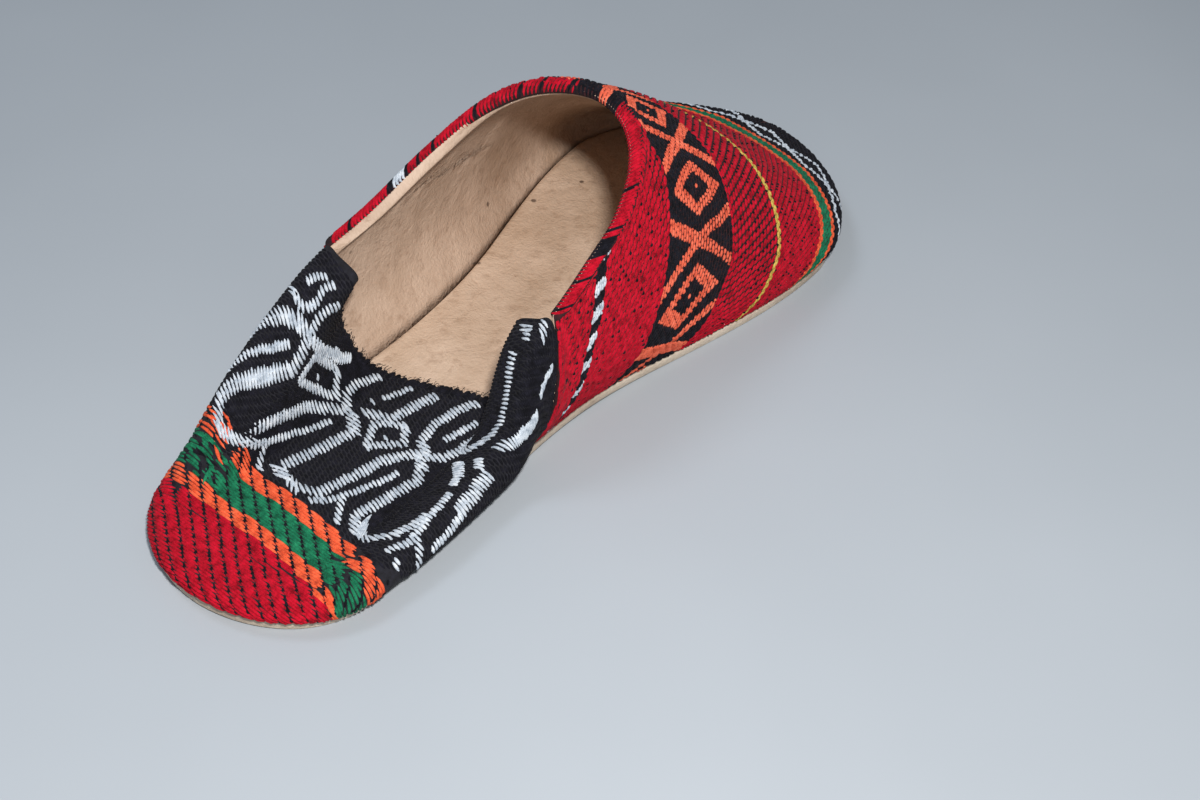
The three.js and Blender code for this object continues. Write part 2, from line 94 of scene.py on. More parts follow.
def ground(x):
    t = x / LENGTH
    heel = np.maximum(0, 1 - t / HEEL_FLAT[0]) ** 2
    toe = np.maximum(0, (t - FORE_FLAT[1]) / (1 - FORE_FLAT[1])) ** 2
    waist = np.clip((t - HEEL_FLAT[1]) / (FORE_FLAT[0] - HEEL_FLAT[1]), 0, 1)
    return HEEL_LIFT * heel + TOE_SPRING * toe + ARCH * np.sin(np.pi * waist) ** 2


def seat(x):
    return ground(x) + OUTSOLE + GAP


def unit(ways):
    return ways / np.maximum(np.linalg.norm(ways, axis=-1, keepdims=True), 1e-12)


def length_along(line):
    return np.concatenate([[0], np.cumsum(np.linalg.norm(np.diff(line, axis=0), axis=1))])


def edge_line(side):
    x = station(np.linspace(0, 1, EDGE_STEPS + 1))
    line = np.stack([x, centre(x) + side * half_width(x)], 1)
    along = np.zeros_like(line)
    along[1:-1] = unit(line[2:] - line[:-2])
    out = np.stack([-side * along[:, 1], side * along[:, 0]], 1)
    out[0] = (-1, 0)
    out[-1] = (1, 0)
    return {"line": line, "out": out, "run": length_along(line)}


EDGES = {side: edge_line(side) for side in (NEAR, FAR)}


def edge_at(side, place):
    edge = EDGES[side]
    steps = np.arange(EDGE_STEPS + 1)
    point = np.stack([np.interp(place, steps, edge["line"][:, k]) for k in (0, 1)], -1)
    out = np.stack([np.interp(place, steps, edge["out"][:, k]) for k in (0, 1)], -1)
    return point, unit(out)


def edge_at_x(side, x):
    return edge_at(side, station_share(x) * EDGE_STEPS)


def inset_edge(side, inset):
    edge = EDGES[side]
    moved = edge["line"] - edge["out"] * inset
    clear = side * (moved[:, 1] - centre(moved[:, 0])) >= 0
    moved = moved[clear]
    return moved[np.argsort(moved[:, 0])]


def srgb(code):
    parts = [int(code[k:k + 2], 16) / 255 for k in (0, 2, 4)]
    return tuple(v / 12.92 if v <= 0.04045 else ((v + 0.055) / 1.055) ** 2.4 for v in parts) + (1.0,)


def plug(tree, made, links):
    for name, value in links.items():
        if isinstance(value, bpy.types.Node):
            value = value.outputs[0]
        if isinstance(value, bpy.types.NodeSocket):
            tree.links.new(value, made.inputs[name])
        else:
            made.inputs[name].default_value = value


def node(tree, kind, links={}, stops=(), **settings):
    """one node with its settings and links; stops are the places and colours of a ramp"""
    made = tree.nodes.new("ShaderNode" + kind)
    for name, value in settings.items():
        setattr(made, name, value)
    for k, (place, code) in enumerate(stops):
        band = made.color_ramp.elements[k] if k < 2 else made.color_ramp.elements.new(place)
        band.position = place
        band.color = srgb(code)
    plug(tree, made, links)
    return made


def new_material(name):
    material = bpy.data.materials.new(name)
    material.use_nodes = True
    tree = material.node_tree
    return material, tree, tree.nodes["Principled BSDF"]


def in_scene(name, data):
    made = bpy.data.objects.new(name, data)
    bpy.context.scene.collection.objects.link(made)
    return made


def solid(name, points, faces, material, body="root", merge=None):
    mesh = bpy.data.meshes.new(name)
    mesh.from_pydata((points - LAST_AT).tolist(), [], faces)
    mesh.materials.append(material)
    mesh.polygons.foreach_set("use_smooth", [True] * len(mesh.polygons))
    mesh.update()
    made = in_scene(name, mesh)
    if merge:
        weld = made.modifiers.new("weld", "WELD")
        weld.merge_threshold = merge
    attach(made, body)
    return made


def layer(inset, below, thickness, corner, short=0, across=24, steps=220, relief=None):
    near = inset_edge(NEAR, inset)
    far = inset_edge(FAR, inset)
    back = max(near[0, 0], far[0, 0]) + 0.02 * MM
    front = min(near[-1, 0], far[-1, 0]) - short - 0.02 * MM
    x = back + (front - back) * station(np.linspace(0, 1, steps + 1)) / LENGTH
    right = np.interp(x, near[:, 0], near[:, 1])
    left = np.interp(x, far[:, 0], far[:, 1])
    cut = np.minimum(corner, (left - right) / 4 + 0.01 * MM)
    low = below(x)
    rings = []
    for share in np.linspace(0, 1, across + 1):
        rings.append((right + cut + (left - right - 2 * cut) * share, low))
    for angle in (22, 45, 68):
        a = math.radians(angle)
        rings.append((left - cut * (1 - math.sin(a)), low + cut * (1 - math.cos(a))))
    rings.append((left, low + thickness - cut))
    for angle in (30, 60):
        a = math.radians(angle)
        rings.append((left - cut * (1 - math.cos(a)), low + thickness - cut * (1 - math.sin(a))))
    for share in np.linspace(1, 0, across + 1):
        y = right + cut + (left - right - 2 * cut) * share
        rise = relief(x, y, share) if relief else 0
        rings.append((y, low + thickness + rise))
    for angle in (60, 30):
        a = math.radians(angle)
        rings.append((right + cut * (1 - math.cos(a)), low + thickness - cut * (1 - math.sin(a))))
    rings.append((right, low + thickness - cut))
    for angle in (68, 45, 22):
        a = math.radians(angle)
        rings.append((right + cut * (1 - math.sin(a)), low + cut * (1 - math.cos(a))))
    points = np.stack([np.stack([x, y, z + 0 * x], -1) for y, z in rings], 1)
    rows, columns = points.shape[:2]
    i, j = np.meshgrid(np.arange(rows - 1), np.arange(columns), indexing="ij")
    k = (j + 1) % columns
    quads = np.stack([i * columns + j, i * columns + k, (i + 1) * columns + k, (i + 1) * columns + j], -1)
    faces = quads.reshape(-1, 4).tolist()
    faces.append(list(range(columns))[::-1])
    faces.append([(rows - 1) * columns + j for j in range(columns)])
    return points.reshape(-1, 3), faces


# Vegetable-tanned cow leather, split and buffed: chalky, matt, with scuffs and a fibrous cut edge.
sole_leather, tree, surface = new_material("cow_leather_buffed")
place = node(tree, "TexCoord").outputs["Object"]
cloud = node(tree, "TexNoise", {"Vector": place, "Scale": 60.0, "Detail": 6.0, "Roughness": 0.62})
colour = node(tree, "ValToRGB", {"Fac": cloud},
              stops=[(0.3, "B3A290"), (0.5, "CFC1AE"), (0.72, "DDD2C2")])
stretched = node(tree, "Mapping", {"Vector": place, "Scale": (1.0, 1.0, 9.0)})
fibre = node(tree, "TexNoise",
             {"Vector": stretched, "Scale": 900.0, "Detail": 4.0})
dark_fibre = node(tree, "ValToRGB", {"Fac": fibre},
                  stops=[(0.35, "A8957F"), (0.6, "FFFFFF")])
grain = node(tree, "TexVoronoi", {"Vector": place, "Scale": 1400.0})
mixed = node(tree, "MixRGB", {"Fac": 0.35, "Color1": colour,
                                        "Color2": dark_fibre}, blend_type="MULTIPLY")
rise = node(tree, "Math", {0: fibre, 1: grain}, operation="ADD")
bump = node(tree, "Bump", {"Strength": 0.45, "Distance": 0.0003, "Height": rise})
plug(tree, surface, {"Base Color": mixed, "Roughness": 0.82, "Normal": bump})

points, faces = layer(0, ground, OUTSOLE, SOLE_ROUND)
outsole = solid("turned_outsole", points, faces, sole_leather)
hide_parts("outsole")

# Insole. A thin sock of natural sheepskin over the outsole, inside the walls. It is glued down by
# hand, so it ripples, sinks a little under the heel and the ball, and creases where it meets the walls.
INSOLE = 1.6 * MM
INSOLE_EASE = 0.8 * MM
INSOLE_SHORT = 3 * MM
WALL = 2.4 * MM
TREADS = [(40, 0, 24, 0.35), (172, -6, 26, 0.3), (205, 6, 18, 0.25)]
RIPPLES = [(104, 22, 126, 30, 3.0, 0.5), (112, 6, 150, 16, 4.0, 0.45), (120, -8, 160, 4, 3.5, 0.35),
           (96, -6, 118, 8, 5.0, 0.4), (132, 24, 158, 27, 2.6, 0.4), (100, -20, 140, -16, 4.0, 0.35)]


def near_line(x, y, row):
    ax, ay, bx, by, width, depth = (np.float64(v) * MM for v in row)
    s = np.clip(((x - ax) * (bx - ax) + (y - ay) * (by - ay)) / ((bx - ax) ** 2 + (by - ay) ** 2), 0, 1)
    away = np.hypot(x - ax - s * (bx - ax), y - ay - s * (by - ay))
    return depth * np.exp(-(away / width) ** 2)


def sock_relief(x, y, share):
    sunk = 0 * x
    for row in TREADS:
        cx, cy, reach, depth = (v * MM for v in row)
        sunk = sunk - depth * np.exp(-(((x - cx) / reach) ** 2 + ((y - cy) / reach * 1.3) ** 2))
    for row in RIPPLES:
        sunk = sunk - near_line(x, y, row) * 0.7
    border = np.minimum(share, 1 - share) * 2 * half_width(x)
    return sunk + 0.25 * MM * np.exp(-(border / (3 * MM)) ** 2)


# Natural sheepskin, drum-tanned and left undyed: warm tan, soft sheen, fine pebbled grain with
# shallow wrinkles, and a few dark specks.
def sheepskin(name, light, middle, deep):
    material, tree, surface = new_material(name)
    place = node(tree, "TexCoord").outputs["Object"]
    cloud = node(tree, "TexNoise",
                 {"Vector": place, "Scale": 38.0, "Detail": 7.0, "Roughness": 0.6})
    colour = node(tree, "ValToRGB", {"Fac": cloud},
                  stops=[(0.32, deep), (0.5, middle), (0.68, light)])
    warped = node(tree, "TexNoise", {"Vector": place, "Scale": 90.0, "Detail": 3.0})
    bent = node(tree, "MixRGB", {"Fac": 0.006, "Color1": place, "Color2": warped.outputs["Color"]},
                blend_type="ADD")
    pebble = node(tree, "TexVoronoi", {"Vector": bent, "Scale": 1100.0})
    wrinkle = node(tree, "TexNoise",
                   {"Vector": bent, "Scale": 260.0, "Detail": 5.0, "Roughness": 0.65})
    # Wrinkle valleys darkened in colour: painted shade in the creases.
    wrinkle_shade = node(tree, "ValToRGB", {"Fac": wrinkle},
                  stops=[(0.34, "B09A88"), (0.46, "FFFFFF")])
    shaded = node(tree, "MixRGB", {"Fac": 0.3, "Color1": colour,
                                             "Color2": wrinkle_shade}, blend_type="MULTIPLY")
    dots = node(tree, "TexVoronoi", {"Vector": place, "Scale": 75.0})
    speck = node(tree, "ValToRGB", {"Fac": dots},
                 stops=[(0.045, "4A3B33"), (0.075, "FFFFFF")])
    marked = node(tree, "MixRGB", {"Fac": 0.75, "Color1": shaded,
                                             "Color2": speck}, blend_type="MULTIPLY")
    rough = node(tree, "MapRange",
                 {"Value": cloud, "To Min": 0.5, "To Max": 0.72})
    low = node(tree, "Bump",
               {"Strength": 0.5, "Distance": 0.0012, "Height": wrinkle})
    high = node(tree, "Bump", {"Strength": 0.35, "Distance": 0.0003, "Height": pebble, "Normal": low})
    plug(tree, surface, {"Base Color": marked, "Roughness": rough, "Normal": high})
    return material


sock_leather = sheepskin("sheepskin_undyed_sock", "D6BEA8", "C8AF98", "B89E86")
points, faces = layer(WALL + INSOLE_EASE, seat, INSOLE, 0.4 * MM, INSOLE_SHORT, 60, 260, sock_relief)
insole = solid("sheepskin_sock", points, faces, sock_leather)
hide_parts("insole")

# Vamp. Kilim cloth lined with sheepskin, lasted as one wall from seam to seam round the toe. Cloth
# and lining are sewn face to face along the topline, turned and pressed, which leaves a soft roll.
INSTEP = 69 * MM
SEAM_TOP = 45 * MM
RIM_OUT = 1.5 * MM
RIM_IN = 1.6 * MM
RIM_DEPTH = 6 * MM
RIM_ROUND = 0.33
RIM_LIP = 0.35
SEAM_FOOT = {NEAR: 90 * MM, FAR: 83 * MM}
SEAM_HEAD = {NEAR: 97 * MM, FAR: 84 * MM}
BELLY_UP = 0.25
VAMP = [
    (0.32, 1.14, 3.2, 0.28), (0.40, 1.15, 3.1, 0.28), (0.48, 1.15, 2.8, 0.27), (0.56, 1.10, 2.3, 0.23),
    (0.62, 1.01, 1.8, 0.2), (0.68, 0.89, 1.4, 0.16), (0.76, 0.69, 1.2, 0.12), (0.84, 0.44, 1.1, 0.09),
    (0.92, 0.25, 0.9, 0.07), (0.97, 0.16, 0.8, 0.05), (1.0, 0.125, 0.8, 0.035)]
TOPLINE = [(0.42, 0.32), (0.45, 0.39), (0.5, 0.45), (0.57, 0.51), (0.7, 0.57), (0.85, 0.61), (1.0, 0.626),
           (1.15, 0.61)]


def column(rows, name):
    xs = np.array([row[0] for row in rows], float)
    ys = np.array([row[name] for row in rows], float)
    slopes = np.zeros(len(xs))
    slopes[1:-1] = (ys[2:] - ys[:-2]) / (xs[2:] - xs[:-2])
    slopes[0] = (ys[1] - ys[0]) / (xs[1] - xs[0])
    slopes[-1] = (ys[-1] - ys[-2]) / (xs[-1] - xs[-2])

    def curve(x):
        x = np.clip(x, xs[0], xs[-1])
        i = np.clip(np.searchsorted(xs, x, side="right") - 1, 0, len(xs) - 2)
        width = xs[i + 1] - xs[i]
        s = (x - xs[i]) / width
        rise = s * s * (3 - 2 * s)
        lead = s * (1 - s) * (1 - s) * width * slopes[i]
        tail = s * s * (s - 1) * width * slopes[i + 1]
        return ys[i] + (ys[i + 1] - ys[i]) * rise + lead + tail

    return curve


crown_share = column(VAMP, 1)
belly_share = column(VAMP, 2)
rise_share = column(VAMP, 3)
topline_share = column(TOPLINE, 1)


def seam_x(side, z):
    foot, head = SEAM_FOOT[side], SEAM_HEAD[side]
    return foot + (head - foot) * (z - OUTSOLE) / (SEAM_TOP - OUTSOLE)


def vamp_point(x, side, up):
    x, up = np.broadcast_arrays(np.asarray(x, float), np.asarray(up, float))
    t = x / LENGTH
    edge, out = edge_at_x(side, x)
    low = seat(x)
    belly = belly_share(t) * WALL
    middle = low + rise_share(t) * INSTEP
    crown = crown_share(t) * INSTEP
    angle = np.pi / 2 * (up - BELLY_UP) / (1 - BELLY_UP)
    above = up > BELLY_UP
    core = half_width(x) * np.where(above, np.cos(angle), 1)
    hang = belly * np.where(above, np.cos(angle), np.sin(np.pi / 2 * up / BELLY_UP))
    z = np.where(above, middle + (crown - middle) * np.sin(angle), low + (middle - low) * up / BELLY_UP)
    y = centre(x) + side * core + out[..., 1] * hang
    return np.stack([x + out[..., 0] * hang, y, z], -1)


def seam_start(side, up):
    x = np.full(np.shape(up), seam_x(side, OUTSOLE))
    for _ in range(20):
        x = seam_x(side, vamp_point(x, side, up)[..., 2]) + GAP / 2
    return x


def vamp_start(side, up):
    return np.maximum(seam_start(side, up), topline_share(up) * LENGTH)


def corner_up(side):
    low, high = BELLY_UP, 1.0
    for _ in range(40):
        up = (low + high) / 2
        if topline_share(up) * LENGTH < seam_start(side, up):
            low = up
        else:
            high = up
    return low


def rim_faces(distance):
    s = np.minimum(distance / RIM_DEPTH, 1)
    rounding = np.sqrt(1 - (1 - np.minimum(s / RIM_ROUND, 1)) ** 2)
    drawn_in = WALL / 2 * (1 - RIM_LIP) * (1 - rounding)
    swell = np.sin(np.pi * s)
    return RIM_OUT * swell - drawn_in, drawn_in - WALL - RIM_IN * swell


def grid_normals(grid):
    along = np.empty_like(grid)
    along[1:-1] = grid[2:] - grid[:-2]
    along[0] = grid[1] - grid[0]
    along[-1] = grid[-1] - grid[-2]
    across = np.empty_like(grid)
    across[:, 1:-1] = grid[:, 2:] - grid[:, :-2]
    across[:, 0] = grid[:, 1] - grid[:, 0]
    across[:, -1] = grid[:, -1] - grid[:, -2]
    return unit(np.cross(across, along))


SEAM_ROWS = 16
THROAT_ROWS = 44
RIM_SHARES = [0, 0.04, 0.09, 0.15, 0.22, 0.33, 0.45, 0.6, 0.75, 0.9, 1, 1.15, 1.5]
FRONT_STEPS = 90
rows = []
for side in (NEAR, FAR):
    corner = corner_up(side)
    ups = np.concatenate([corner * np.arange(SEAM_ROWS) / SEAM_ROWS,
                          corner + (1 - corner) * np.linspace(0, 1, THROAT_ROWS + 1)])
    rows.append(ups)
vamp_rows = [(NEAR, up, (up + rows[1][i]) / 2, i >= SEAM_ROWS) for i, up in enumerate(rows[0])]
vamp_rows += [(FAR, rows[1][i], vamp_rows[i][2], i >= SEAM_ROWS) for i in range(len(rows[1]) - 2, -1, -1)]
vamp_mid = []
for side, up, tip_up, rim in vamp_rows:
    first = float(vamp_start(side, up))
    begin = first + np.array(RIM_SHARES) * RIM_DEPTH
    share = station_share(begin[-1])
    x = np.concatenate([begin, station(share + (1 - share) * np.arange(1, FRONT_STEPS + 1) / FRONT_STEPS)])
    s = np.clip((x - begin[-1]) / (LENGTH - begin[-1]), 0, 1)
    vamp_mid.append(vamp_point(x, side, up + (tip_up - up) * s * s * (3 - 2 * s)))
vamp_mid = np.array(vamp_mid)
vamp_normal = grid_normals(vamp_mid)
last_row = len(vamp_rows) - 1
rim_row = np.array([row[3] for row in vamp_rows])
row_side = np.array([row[0] for row in vamp_rows])
from_edge = np.linalg.norm(vamp_mid - vamp_mid[:, :1], axis=-1)
from_edge[~rim_row] = RIM_DEPTH
rim_cloth, rim_lining = rim_faces(from_edge)


def vamp_face(offset, under_crown=False):
    normal = vamp_normal.copy()
    normal[[0, -1], :, 2] = 0
    normal[~rim_row, 0, 0] = 0
    tip = normal[:, -1] + normal[::-1, -1]
    tip[:, 1] = 0
    normal[:, -1] = tip
    moved = vamp_mid + unit(normal) * offset[..., None]
    for i in np.where(~rim_row)[0]:
        moved[i, 0, 0] = seam_x(row_side[i], moved[i, 0, 2]) + GAP / 2
    if under_crown:
        ceiling = crown_share(moved[..., 0] / LENGTH) * INSTEP + offset
        moved[..., 2] = np.minimum(moved[..., 2], ceiling)
    for i in (0, last_row):
        moved[i, :, 2] = seat(moved[i, :, 0])
    half = last_row // 2
    moved[last_row - np.arange(half), -1] = moved[np.arange(half), -1]
    return moved


def shell(outer, inner, closed=False):
    rows, columns = outer.shape[:2]
    points = np.concatenate([outer.reshape(-1, 3), inner.reshape(-1, 3)])
    shift = rows * columns
    i, j = np.meshgrid(np.arange(rows - 1), np.arange(columns - 1), indexing="ij")
    at = i * columns + j
    quads = np.stack([at, at + 1, at + columns + 1, at + columns], -1).reshape(-1, 4)
    faces = quads.tolist() + (quads[:, ::-1] + shift).tolist()
    edge = [(j, j + 1) for j in range(columns - 1)]
    low = (rows - 1) * columns
    edge += [(low + j + 1, low + j) for j in range(columns - 1)]
    edge += [((i + 1) * columns, i * columns) for i in range(rows - 1)]
    if not closed:
        edge += [(i * columns + columns - 1, (i + 1) * columns + columns - 1) for i in range(rows - 1)]
    faces += [[b, a, a + shift, b + shift] for a, b in edge]
    return points, faces


# Wool ground behind the floats, almost black as painted shade, so the gaps between the yarns read as dark
# dots of shadow.
def shade_backing(name, light, deep):
    material, tree, surface = new_material(name)
    place = node(tree, "TexCoord").outputs["Object"]
    cloud = node(tree, "TexNoise", {"Vector": place, "Scale": 700.0, "Detail": 5.0})
    colour = node(tree, "ValToRGB", {"Fac": cloud}, stops=[(0.35, deep), (0.7, light)])
    knots = node(tree, "TexVoronoi", {"Vector": place, "Scale": 900.0})
    bump = node(tree, "Bump",
                {"Strength": 0.8, "Distance": 0.0004, "Height": knots})
    plug(tree, surface, {"Base Color": colour, "Roughness": 0.95, "Normal": bump})
    return material


CREASES = [  # foot and head of each soft trough in the lining as place and height, then width and depth
    (101, 0.20, 104, 0.75, 3.2, 0.55), (110, 0.15, 115, 0.8, 2.6, 0.6), (121, 0.2, 124, 0.85, 3.5, 0.6),
    (131, 0.1, 138, 0.8, 2.4, 0.5), (143, 0.15, 149, 0.9, 3.6, 0.5), (93, 0.2, 95, 0.8, 3.0, 0.4)]
WELD = 0.02 * MM
UNDER_BEAD = 7.2 * MM


def lining_relief():
    x = vamp_mid[..., 0]
    height = (vamp_mid[..., 2] - seat(x)) / (45 * MM)
    sunk = np.zeros(x.shape)
    for ax, ah, bx, bh, width, depth in CREASES:
        middle = (ax + (bx - ax) * (height - ah) / (bh - ah)) * MM
        reach = np.exp(-(np.maximum(0, np.maximum(ah - height, height - bh)) / 0.12) ** 2)
        away = (x - middle) / (width * MM)
        sunk += depth * MM * (np.exp(-away ** 2) - 0.5 * np.exp(-((away - 1.6) / 1.4) ** 2)) * reach
    sunk += np.where(rim_row[:, None], 0.55 * MM * np.exp(-((from_edge - UNDER_BEAD) / (0.9 * MM)) ** 2), 0)
    ease = np.clip(from_edge / RIM_DEPTH, 0, 1) * np.where(row_side[:, None] == FAR, 1, 0.6)
    far_bead = np.interp(np.arange(len(row_side)), [62, 84, 96], [0.9, 0.8, 0.1])
    flat_bead = np.where(row_side == NEAR, 0.9, far_bead)[:, None] * rim_row[:, None] * MM
    pressed = flat_bead * np.sin(np.pi * np.clip(from_edge / RIM_DEPTH, 0, 1))
    return sunk * np.where(rim_row[:, None], ease, 0.3) + pressed


# The vamp's ground is near-black red painted shade for the shadow between its floats.
vamp_shade_backing = shade_backing("dark_red_backing_painted_shade", "3A0D14", "16060A")
vamp_leather = sheepskin("sheepskin_undyed_lining", "D2B9A4", "C3AA95", "B0957E")
vamp_outer = vamp_face(rim_cloth)
lining_face = vamp_face(rim_lining + lining_relief(), True)
turned = np.clip((1.9 * MM - from_edge) / (1.0 * MM), 0, 1) * rim_row[:, None]
turned[row_side == FAR] *= np.interp(np.arange((row_side == FAR).sum()), [0, 22, 34], [1, 1, 0.2])[:, None]
parting = vamp_outer + (lining_face - vamp_outer) * (0.45 + 0.62 * turned)[..., None]
points, faces = shell(vamp_outer, parting, True)
vamp_cloth = solid("vamp_kilim_backing_painted_shade", points, faces, vamp_shade_backing, merge=WELD)
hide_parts("upper")
tucked = (1 - 0.3 * turned)[..., None]
points, faces = shell(vamp_outer + (lining_face - vamp_outer) * 0.45,
                      vamp_outer + (lining_face - vamp_outer) * tucked, True)
solid("vamp_sheepskin_lining", points, faces, vamp_leather, merge=WELD)

# Kilim floats of the vamp. Wool yarns packed in ribs that run with the coloured bands: red, one dashed
# black and white stripe, a salmon diamond band on black, a yellow cord, then green and black at the toe.
BENDS = [  # how far each line over the cloth has moved back, for a way down from the crown, all in mm
    (-85, [(122, 36), (156.5, 35.5), (178, 28), (196, 28), (233, 47)]),
    (-60, [(122, 21), (156.5, 20.5), (178, 14.5), (196, 14), (233, 31)]),
    (-30, [(122, 5.5), (156.5, 4.5), (178, 4.5), (196, 4.3), (233, 11.5)]),
    (0, [(122, 0), (156.5, 0), (178, 0), (196, 0), (233, 0)]),
    (10, [(122, 2), (156.5, 0), (178, -1), (196, -1.5), (233, -2.6)]),
    (33, [(122, 15), (156.5, 7), (178, 3), (196, 3), (233, 4)]),
    (60, [(122, 29), (156.5, 18), (178, 14), (196, 13), (233, 19)]),
    (85, [(122, 44), (156.5, 33), (178, 28), (196, 27), (233, 40)])]
FLAT_STEP = 0.5 * MM
rng = np.random.default_rng(7)


def line_at(b, v):
    levels = np.array([row[0] for row in BENDS], float)
    moved = np.stack([np.interp(b, [p[0] for p in row[1]], [p[1] for p in row[1]]) for row in BENDS], -1)
    v = np.broadcast_to(v, b.shape)
    i = np.clip(np.searchsorted(levels, v) - 1, 0, len(levels) - 2)
    s = (v - levels[i]) / (levels[i + 1] - levels[i])
    first = np.take_along_axis(moved, i[..., None], -1)[..., 0]
    second = np.take_along_axis(moved, i[..., None] + 1, -1)[..., 0]
    return b - (first + (second - first) * s)


def lay_flat(skin, normals, halves, crown_y, u_range, v_range):
    """sections across the skin, each unrolled from its middle to both sides"""
    us = np.arange(u_range[0], u_range[1], FLAT_STEP)
    vs = np.arange(v_range[0], v_range[1], FLAT_STEP)
    data = np.concatenate([skin, normals], -1)
    table = np.full((len(us), len(vs), 6), np.nan)
    for direction, half in zip((NEAR, FAR), halves):
        cross = np.full((len(half), len(us), 6), np.nan)
        for n, (i, begin) in enumerate(half):
            line = data[i, begin:]
            order = np.argsort(line[:, 0])
            for k in range(6):
                cross[n, :, k] = np.interp(us, line[order, 0], line[order, k], left=np.nan, right=np.nan)
        for k in range(len(us)):
            good = ~np.isnan(cross[:, k, 0])
            if good.sum() < 2:
                continue
            part = cross[good, k]
            step = np.hypot(np.diff(part[:, 1]), np.diff(part[:, 2]))
            way = part[0, 1] - crown_y(us[k]) + direction * np.concatenate([[0], np.cumsum(step)])
            order = np.argsort(way)
            inside = (vs >= way.min()) & (vs <= way.max())
            for c in range(6):
                table[k, inside, c] = np.interp(vs[inside], way[order], part[order, c])
    return {"us": us, "vs": vs, "table": table}


def on_cloth(flat, u, v):
    place_u = (u - flat["us"][0]) / FLAT_STEP
    place_v = (v - flat["vs"][0]) / FLAT_STEP
    i = np.clip(place_u.astype(int), 0, len(flat["us"]) - 2)
    j = np.clip(place_v.astype(int), 0, len(flat["vs"]) - 2)
    s = (place_u - i)[..., None]
    t = (place_v - j)[..., None]
    table = flat["table"]
    found = ((table[i, j] * (1 - s) + table[i + 1, j] * s) * (1 - t)
             + (table[i, j + 1] * (1 - s) + table[i + 1, j + 1] * s) * t)
    found = np.where((s < 0) | (s > 1) | (t < 0) | (t > 1), np.nan, found)
    return found[..., :3], unit(found[..., 3:])


def lay_along(skin, normals, zero, low, high):
    """the skin unrolled along one of its own lines; V is the way over the skin from that line"""
    base = skin[np.arange(len(skin)), zero]
    along = length_along(base)
    vs = np.arange(low, high, FLAT_STEP)
    data = np.concatenate([skin, normals], -1)
    lines = np.full((len(skin), len(vs), 6), np.nan)
    for i in range(len(skin)):
        way = length_along(skin[i])
        way -= way[zero[i]]
        for k in range(6):
            lines[i, :, k] = np.interp(vs, way, data[i, :, k], left=np.nan, right=np.nan)
    us = np.arange(0, along[-1], FLAT_STEP)
    place = np.interp(us, along, np.arange(len(along)))
    i = np.minimum(place.astype(int), len(along) - 2)
    s = (place - i)[:, None, None]
    return {"us": us, "vs": vs, "table": lines[i] * (1 - s) + lines[i + 1] * s, "length": along[-1]}


middle_row = last_row // 2
halves = [[(i, 0) for i in range(middle_row, -1, -1)], [(i, 0) for i in range(middle_row, last_row + 1)]]
vamp_flat = lay_flat(vamp_outer, vamp_normal, halves, centre, (82 * MM, 253 * MM), (-115 * MM, 115 * MM))

STATIONS = np.array([0, 0.22, 0.5, 0.78, 1])
WIDTHS = np.array([0.3, 0.85, 1.0, 0.85, 0.3])
RISES = np.array([0.1, 0.8, 1.0, 0.8, 0.1])


def yarn_points(flat, starts, ends, width, height, rises=RISES):
    """floats laid on a flat chart's surface, each cut off where the cloth ends"""
    tries = np.linspace(0, 1, 13)
    way = ends - starts
    spot, _ = on_cloth(flat, starts[:, None, 0] + way[:, None, 0] * tries,
                       starts[:, None, 1] + way[:, None, 1] * tries)
    good = ~np.isnan(spot[..., 0])
    low = np.full(len(starts), 1.0)
    high = np.full(len(starts), 0.0)
    for side, ks in ((0, range(6, -1, -1)), (1, range(6, 13))):
        alive = good[:, 6].copy()
        for k in ks:
            alive &= good[:, k]
            if side:
                high[alive] = tries[k]
            else:
                low[alive] = tries[k]
    keep = high - low > 0.3
    first = starts[keep] + way[keep] * low[keep, None]
    step = way[keep] * (high - low)[keep, None]
    spine, normal = on_cloth(flat, first[:, None, 0] + step[:, None, 0] * STATIONS,
                             first[:, None, 1] + step[:, None, 1] * STATIONS)
    good = ~np.isnan(spine).any((1, 2))
    width = np.broadcast_to(width, keep.shape)[keep][good]
    height = np.broadcast_to(height, keep.shape)[keep][good]
    return float_points(spine[good], normal[good], width, height, rises)


def float_points(spine, normal, width, height, rises=RISES):
    along = np.gradient(spine, axis=1)
    across = unit(np.cross(normal, along))
    half = (width[:, None] / 2 * WIDTHS)[..., None]
    rise = (height[:, None] * rises)[..., None]
    foot = spine - normal * 0.12 * MM
    return np.stack([foot - across * half, spine + normal * rise - across * half * 0.45,
                     spine + normal * rise + across * half * 0.45, foot + across * half], 2)


def yarn_piece(name, bundles, material):
    blocks = np.concatenate([b for b in bundles if len(b)])
    stations, across = blocks.shape[1:3]
    one = [[i * across + j, i * across + j + 1, (i + 1) * across + j + 1, (i + 1) * across + j]
           for i in range(stations - 1) for j in range(across - 1)]
    one = np.array(one)
    faces = (one[None] + (np.arange(len(blocks)) * stations * across)[:, None, None]).reshape(-1, 4)
    return solid(name, blocks.reshape(-1, 3), faces.tolist(), material)


# Handspun wool, dyed in the yarn and beaten down: matt, hairy, each float a little lighter on top.
def wool(name, light, middle, deep):
    material, tree, surface = new_material(name)
    place = node(tree, "TexCoord").outputs["Object"]
    patch = node(tree, "TexNoise",
                 {"Vector": place, "Scale": 420.0, "Detail": 3.0, "Roughness": 0.7})
    hair = node(tree, "TexNoise", {"Vector": place, "Scale": 3500.0, "Detail": 3.0})
    both = node(tree, "MixRGB",
                {"Fac": 0.35, "Color1": patch, "Color2": hair})
    colour = node(tree, "ValToRGB", {"Fac": both},
                  stops=[(0.36, deep), (0.5, middle), (0.66, light)])
    bump = node(tree, "Bump", {"Strength": 0.6, "Distance": 0.0002, "Height": hair})
    plug(tree, surface, {"Base Color": colour, "Roughness": 0.92, "Specular IOR Level": 0.15,
                         "Sheen Weight": 0.03, "Sheen Roughness": 0.4, "Normal": bump})
    return material


